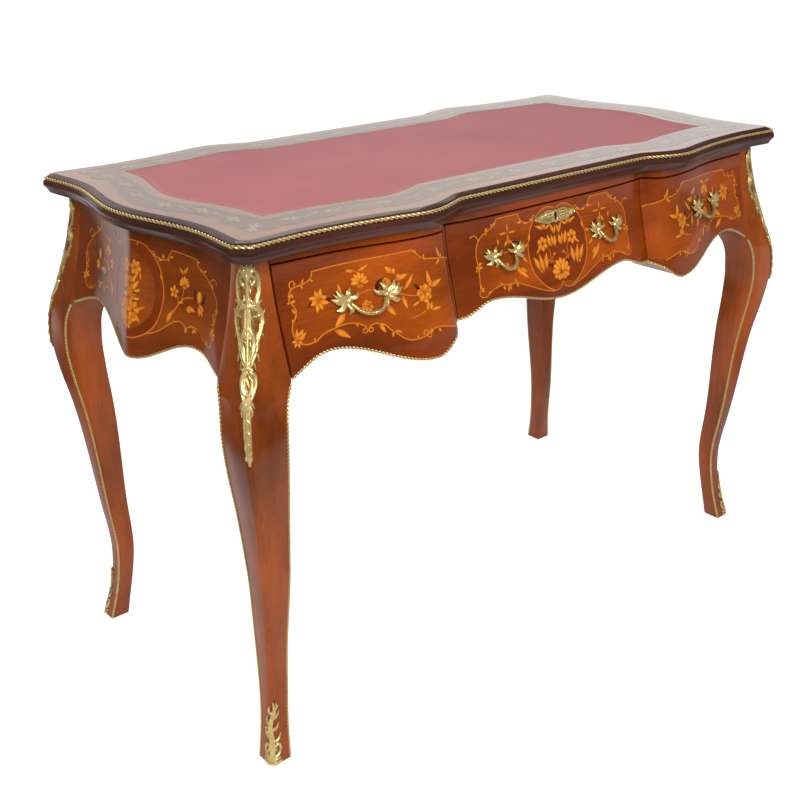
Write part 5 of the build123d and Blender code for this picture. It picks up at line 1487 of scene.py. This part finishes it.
def escutcheon():
    """Low rocaille plate: pebbled shell work between two long leaves, pierced by the keyhole."""
    z0 = CARCASE - SCUTCHEON_BELOW
    cast = Relief(-48, 48, -11.5, 11.5, 0.5)
    for sign in (-1, 1):
        cast.strand([(sign * 3, 6.5), (sign * 16, 8.5), (sign * 30, 5), (sign * 46, 0.5)],
                    (1.6, 2.0, 1.8, 0.9), 2.6)
        cast.strand([(sign * 3, -7.5), (sign * 16, -8), (sign * 30, -5), (sign * 44, -0.5)],
                    (1.6, 2.0, 1.8, 0.9), 2.6)
        for k in range(11):
            a = 5.5 + 3.6 * k
            tall = 7.5 * (1 - (k / 11.5) ** 1.7)
            cast.strand([(sign * a, -tall), (sign * (a + 1.4), 0), (sign * a, tall)],
                        (1.5, 1.9, 1.5), 1.9, 1)
            for row in (-0.55, 0.0, 0.55):
                b = row * tall + 0.8 * np.sin(3 * k)
                cast.strand([(sign * a, b - 0.3), (sign * (a + 0.6), b + 0.3)], (1.1, 1.1),
                            2.9 - 0.4 * abs(row))
    cast.strand([(-4.5, 0), (-3.4, 5.5), (0, 7.6), (3.4, 5.5), (4.5, 0), (3, -6.5), (0, -9), (-3, -6.5),
                 (-4.5, 0)], (1.7,) * 9, 3.0)
    slit = (np.abs(cast.a) < 1.4) & (cast.b < 1.5) & (cast.b > -6.2)
    hole = slit | (np.hypot(cast.a, cast.b - 1.5) < 2.9)
    cast.high[hole] = SUNK

    def place(s, t, lift):
        return at_front(s, front_reach(s, z0 + t) + lift, z0 + t)

    shape = Shape()
    cast.lay(shape, place, (0, -1, 0))
    shape.make("escutcheon_cast", "drawer_centre", GILT, "gilt_brass", ["escutcheon"], 80)
    # painted shade: a near-black sheet on the front stands for the dark inside the keyhole
    dark = Shape()
    turn = np.linspace(0, 2 * pi, 17)
    dark.sheet(place(np.outer((0.05, 3.1), np.cos(turn)), 1.5 + np.outer((0.05, 3.1), np.sin(turn)), 0.25),
               (0, -1, 0))
    dark.sheet(place(np.array([[-1.6], [1.6]]) * np.ones(4), np.linspace(1, -6.4, 4) * np.ones((2, 1)),
                     0.25), (0, -1, 0))
    dark.make("keyhole", "drawer_centre", KEYHOLE_SHADE, "iron")


def brass_work():
    """All castings: mounts, handles and the escutcheon."""
    leg_brass()
    for side, name in ((-1, "left"), (1, "right")):
        handle("handle_" + name, "drawer_" + name,
               side * SIDE_HANDLE_X, CARCASE - SIDE_HANDLE_BELOW, SIDE_SPREAD, 1.0)
        handle("handle_centre_" + name, "drawer_centre",
               side * CENTRE_HANDLE_X, CARCASE - CENTRE_HANDLE_BELOW, CENTRE_SPREAD, CENTRE_PLATE_SIZE)
    escutcheon()


# ---------------------------------------------------------------- camera, floor and light
FLOOR_GLOSS = 0.8               # brightness of the floor in reflections near the table
DARK_GLOSS = 0.03               # and further out
WALL_GLOSS = (0.78, 1.0)        # of the wall, from its left to its right
CAMERA_LIFT = 0.62              # light added where the camera looks at floor or wall


def stand(made, right, up, back, place):
    """Puts a camera or lamp in the scene; it looks against back."""
    made.matrix_world = Matrix([[right[k], up[k], back[k], place[k]] for k in range(3)] + [[0, 0, 0, 1]])
    scene.collection.objects.link(made)


def camera():
    """Eye place, heading and frame shift in metres, degrees and pixels of an 800 pixel square."""
    eye = (-1.215, -1.344, 1.127)
    heading, tilt, roll = radians(-40.37), radians(26.08), radians(-0.71)
    focal, middle_x, middle_y, width = 1099, 407, 447, 800
    back = np.array([np.sin(heading) * np.cos(tilt), -np.cos(heading) * np.cos(tilt), np.sin(tilt)])
    right = np.array([np.cos(heading), np.sin(heading), 0.0])
    up = np.cross(back, right)
    right, up = np.cos(roll) * right + np.sin(roll) * up, np.cos(roll) * up - np.sin(roll) * right
    data = bpy.data.cameras.new("camera")
    data.sensor_width = 36
    data.lens = focal * data.sensor_width / width
    data.shift_x = (width / 2 - middle_x) / width
    data.shift_y = (middle_y - width / 2) / width
    made = bpy.data.objects.new("camera", data)
    stand(made, right, up, back, eye)
    scene.camera = made


def white_light(tree, kind, strength):
    """A white emission or background of one strength."""
    return node(tree, kind, Color=(1, 1, 1, 1), Strength=strength).outputs[0]


def choose(tree, factor, one, two):
    """The first shader where the factor is 0, the second where it is 1."""
    blend = node(tree, "ShaderNodeMixShader")
    for socket, source in zip(blend.inputs, (factor, one, two)):
        tree.links.new(source, socket)
    return blend.outputs[0]


def combine(tree, operation, one, two):
    """One value worked out from two."""
    made = node(tree, "ShaderNodeMath", operation=operation)
    tree.links.new(one, made.inputs[0])
    tree.links.new(two, made.inputs[1])
    return made.outputs[0]


def paint_white(tree, shaded, gloss):
    """Lit up to white where the camera sees it, as bright as gloss in reflections, else shaded."""
    path = node(tree, "ShaderNodeLightPath").outputs
    mirrored = node(tree, "ShaderNodeEmission", Color=(1, 1, 1, 1))
    tree.links.new(gloss, mirrored.inputs["Strength"])
    lift = white_light(tree, "ShaderNodeEmission", CAMERA_LIFT)
    none = white_light(tree, "ShaderNodeEmission", 0.0)
    lifted = node(tree, "ShaderNodeAddShader")
    tree.links.new(shaded, lifted.inputs[0])
    tree.links.new(choose(tree, path["Is Camera Ray"], none, lift), lifted.inputs[1])
    seen = combine(tree, "MAXIMUM", path["Is Glossy Ray"], path["Is Transmission Ray"])
    tree.links.new(choose(tree, seen, lifted.outputs[0], mirrored.outputs[0]),
                   tree.nodes["Material Output"].inputs["Surface"])


def between(tree, source, start, stop, low, high):
    """Runs from low to high while the source goes from start to stop."""
    made = node(tree, "ShaderNodeMapRange")
    for k, value in enumerate((start, stop, low, high)):
        made.inputs[k + 1].default_value = value
    tree.links.new(source, made.inputs[0])
    return made.outputs[0]


def plane(name, corners, material):
    """One large face beside the table, which isn't part of it."""
    mesh = bpy.data.meshes.new(name)
    mesh.from_pydata(corners, [], [(0, 1, 2, 3)])
    mesh.materials.append(material)
    made = bpy.data.objects.new(name, mesh)
    scene.collection.objects.link(made)


def floor():
    """A wide pale floor that keeps the shadow; reflections see it bright near, behind and to the right."""
    material, tree, shader = new_material("floor")
    shader.inputs["Base Color"].default_value = (0.86, 0.86, 0.86, 1)
    shader.inputs["Roughness"].default_value = 0.9
    shader.inputs["Specular IOR Level"].default_value = 0.0
    place = node(tree, "ShaderNodeTexCoord")
    away = node(tree, "ShaderNodeVectorMath", operation="LENGTH")
    tree.links.new(place.outputs["Object"], away.inputs[0])
    parts = node(tree, "ShaderNodeSeparateXYZ")
    tree.links.new(place.outputs["Object"], parts.inputs[0])
    gloss = between(tree, away.outputs["Value"], 0.95, 1.35, FLOOR_GLOSS, DARK_GLOSS)
    behind = combine(tree, "MULTIPLY", between(tree, parts.outputs["Y"], 1.2, 2.2, 0.0, FLOOR_GLOSS),
                     between(tree, parts.outputs["X"], -2.4, -1.7, 0.0, 1.0))
    right = between(tree, parts.outputs["X"], 1.05, 1.6, 0.0, 0.6 * FLOOR_GLOSS)
    for other in (behind, right):
        gloss = combine(tree, "MAXIMUM", gloss, other)
    paint_white(tree, shader.outputs[0], gloss)
    half, z = 14.0, -0.0005
    plane("floor", [(-half, -half, z), (half, -half, z), (half, half, z), (-half, half, z)], material)


def backdrop():
    """A tall white wall far behind the table, which the top and the left side mirror."""
    material, tree, shader = new_material("backdrop")
    shader.inputs["Base Color"].default_value = (0.9, 0.9, 0.9, 1)
    place = node(tree, "ShaderNodeTexCoord")
    parts = node(tree, "ShaderNodeSeparateXYZ")
    tree.links.new(place.outputs["Object"], parts.inputs[0])
    gloss = between(tree, parts.outputs["X"], 3.0, 9.0, *WALL_GLOSS)
    paint_white(tree, shader.outputs[0], gloss)
    y, x0, x1, high = 7.0, -1.5, 14.0, 8.0
    plane("backdrop", [(x0, y, 0.0), (x1, y, 0.0), (x1, y, high), (x0, y, high)], material)


def world():
    """White where the camera looks, dimmer as a light and in reflections."""
    made = bpy.data.worlds.new("studio")
    scene.world = made
    made.use_nodes = True
    tree = made.node_tree
    path = node(tree, "ShaderNodeLightPath").outputs
    sky, mirrored, white = (white_light(tree, "ShaderNodeBackground", k) for k in (0.48, 0.10, 1.0))
    seen = combine(tree, "MAXIMUM", path["Is Camera Ray"], path["Is Transmission Ray"])
    tree.links.new(choose(tree, seen, choose(tree, path["Is Glossy Ray"], sky, mirrored), white),
                   tree.nodes["World Output"].inputs["Surface"])


def lamp(name, place, aim, size, watts):
    """A square lamp that looks from its place at its aim."""
    data = bpy.data.lights.new(name, "AREA")
    data.shape = "RECTANGLE"
    data.size, data.size_y = size
    data.energy = watts
    made = bpy.data.objects.new(name, data)
    back = np.array(place, float) - np.array(aim, float)
    back /= np.linalg.norm(back)
    right = np.cross((0, 0, 1), back)
    right /= np.linalg.norm(right)
    stand(made, right, np.cross(back, right), back, place)


# ---------------------------------------------------------------- everything
top_panel()
leather()
for name, side, half in (("front", at_front, BLOCK_X0), ("back", at_back, BLOCK_X0),
                         ("left", at_left, BLOCK_Y0), ("right", at_right, BLOCK_Y0)):
    moulding("top_moulding_" + name, side, half)
corner_blocks()
top_bead()
apron()
drawer_fronts()
rail()
legs()
marquetry()
brass_work()

# The pieces that stay as they are built take the finish of their slot.
FINISHES = {"oak": OAK, "iron": IRON, "plain_brass": PLAIN_BRASS, "gilt_brass": GILT, "leather": LEATHER,
            "dark_moulding": MOULD_WOOD, "veneer": FRONT_WOOD}
slots = {row["node"]: row["material_slot"] for row in frame["record"]["subparts"]}
for obj in frame["nodes"].values():
    obj.data.materials.clear()
    obj.data.materials.append(FINISHES[slots.get(obj.name.split(".")[0], "oak")])

camera()
floor()
backdrop()
world()
lamp("key", (-1.35, -2.5, 2.5), (-0.2, 0, 0.55), (1.8, 1.8), 92)
lamp("fill", (-3.2, 0.6, 2.0), (0, 0, 0.5), (2.0, 2.0), 8)
lamp("rear", (1.5, 2.5, 3.8), (0, 0, 0.7), (2.6, 1.6), 38)
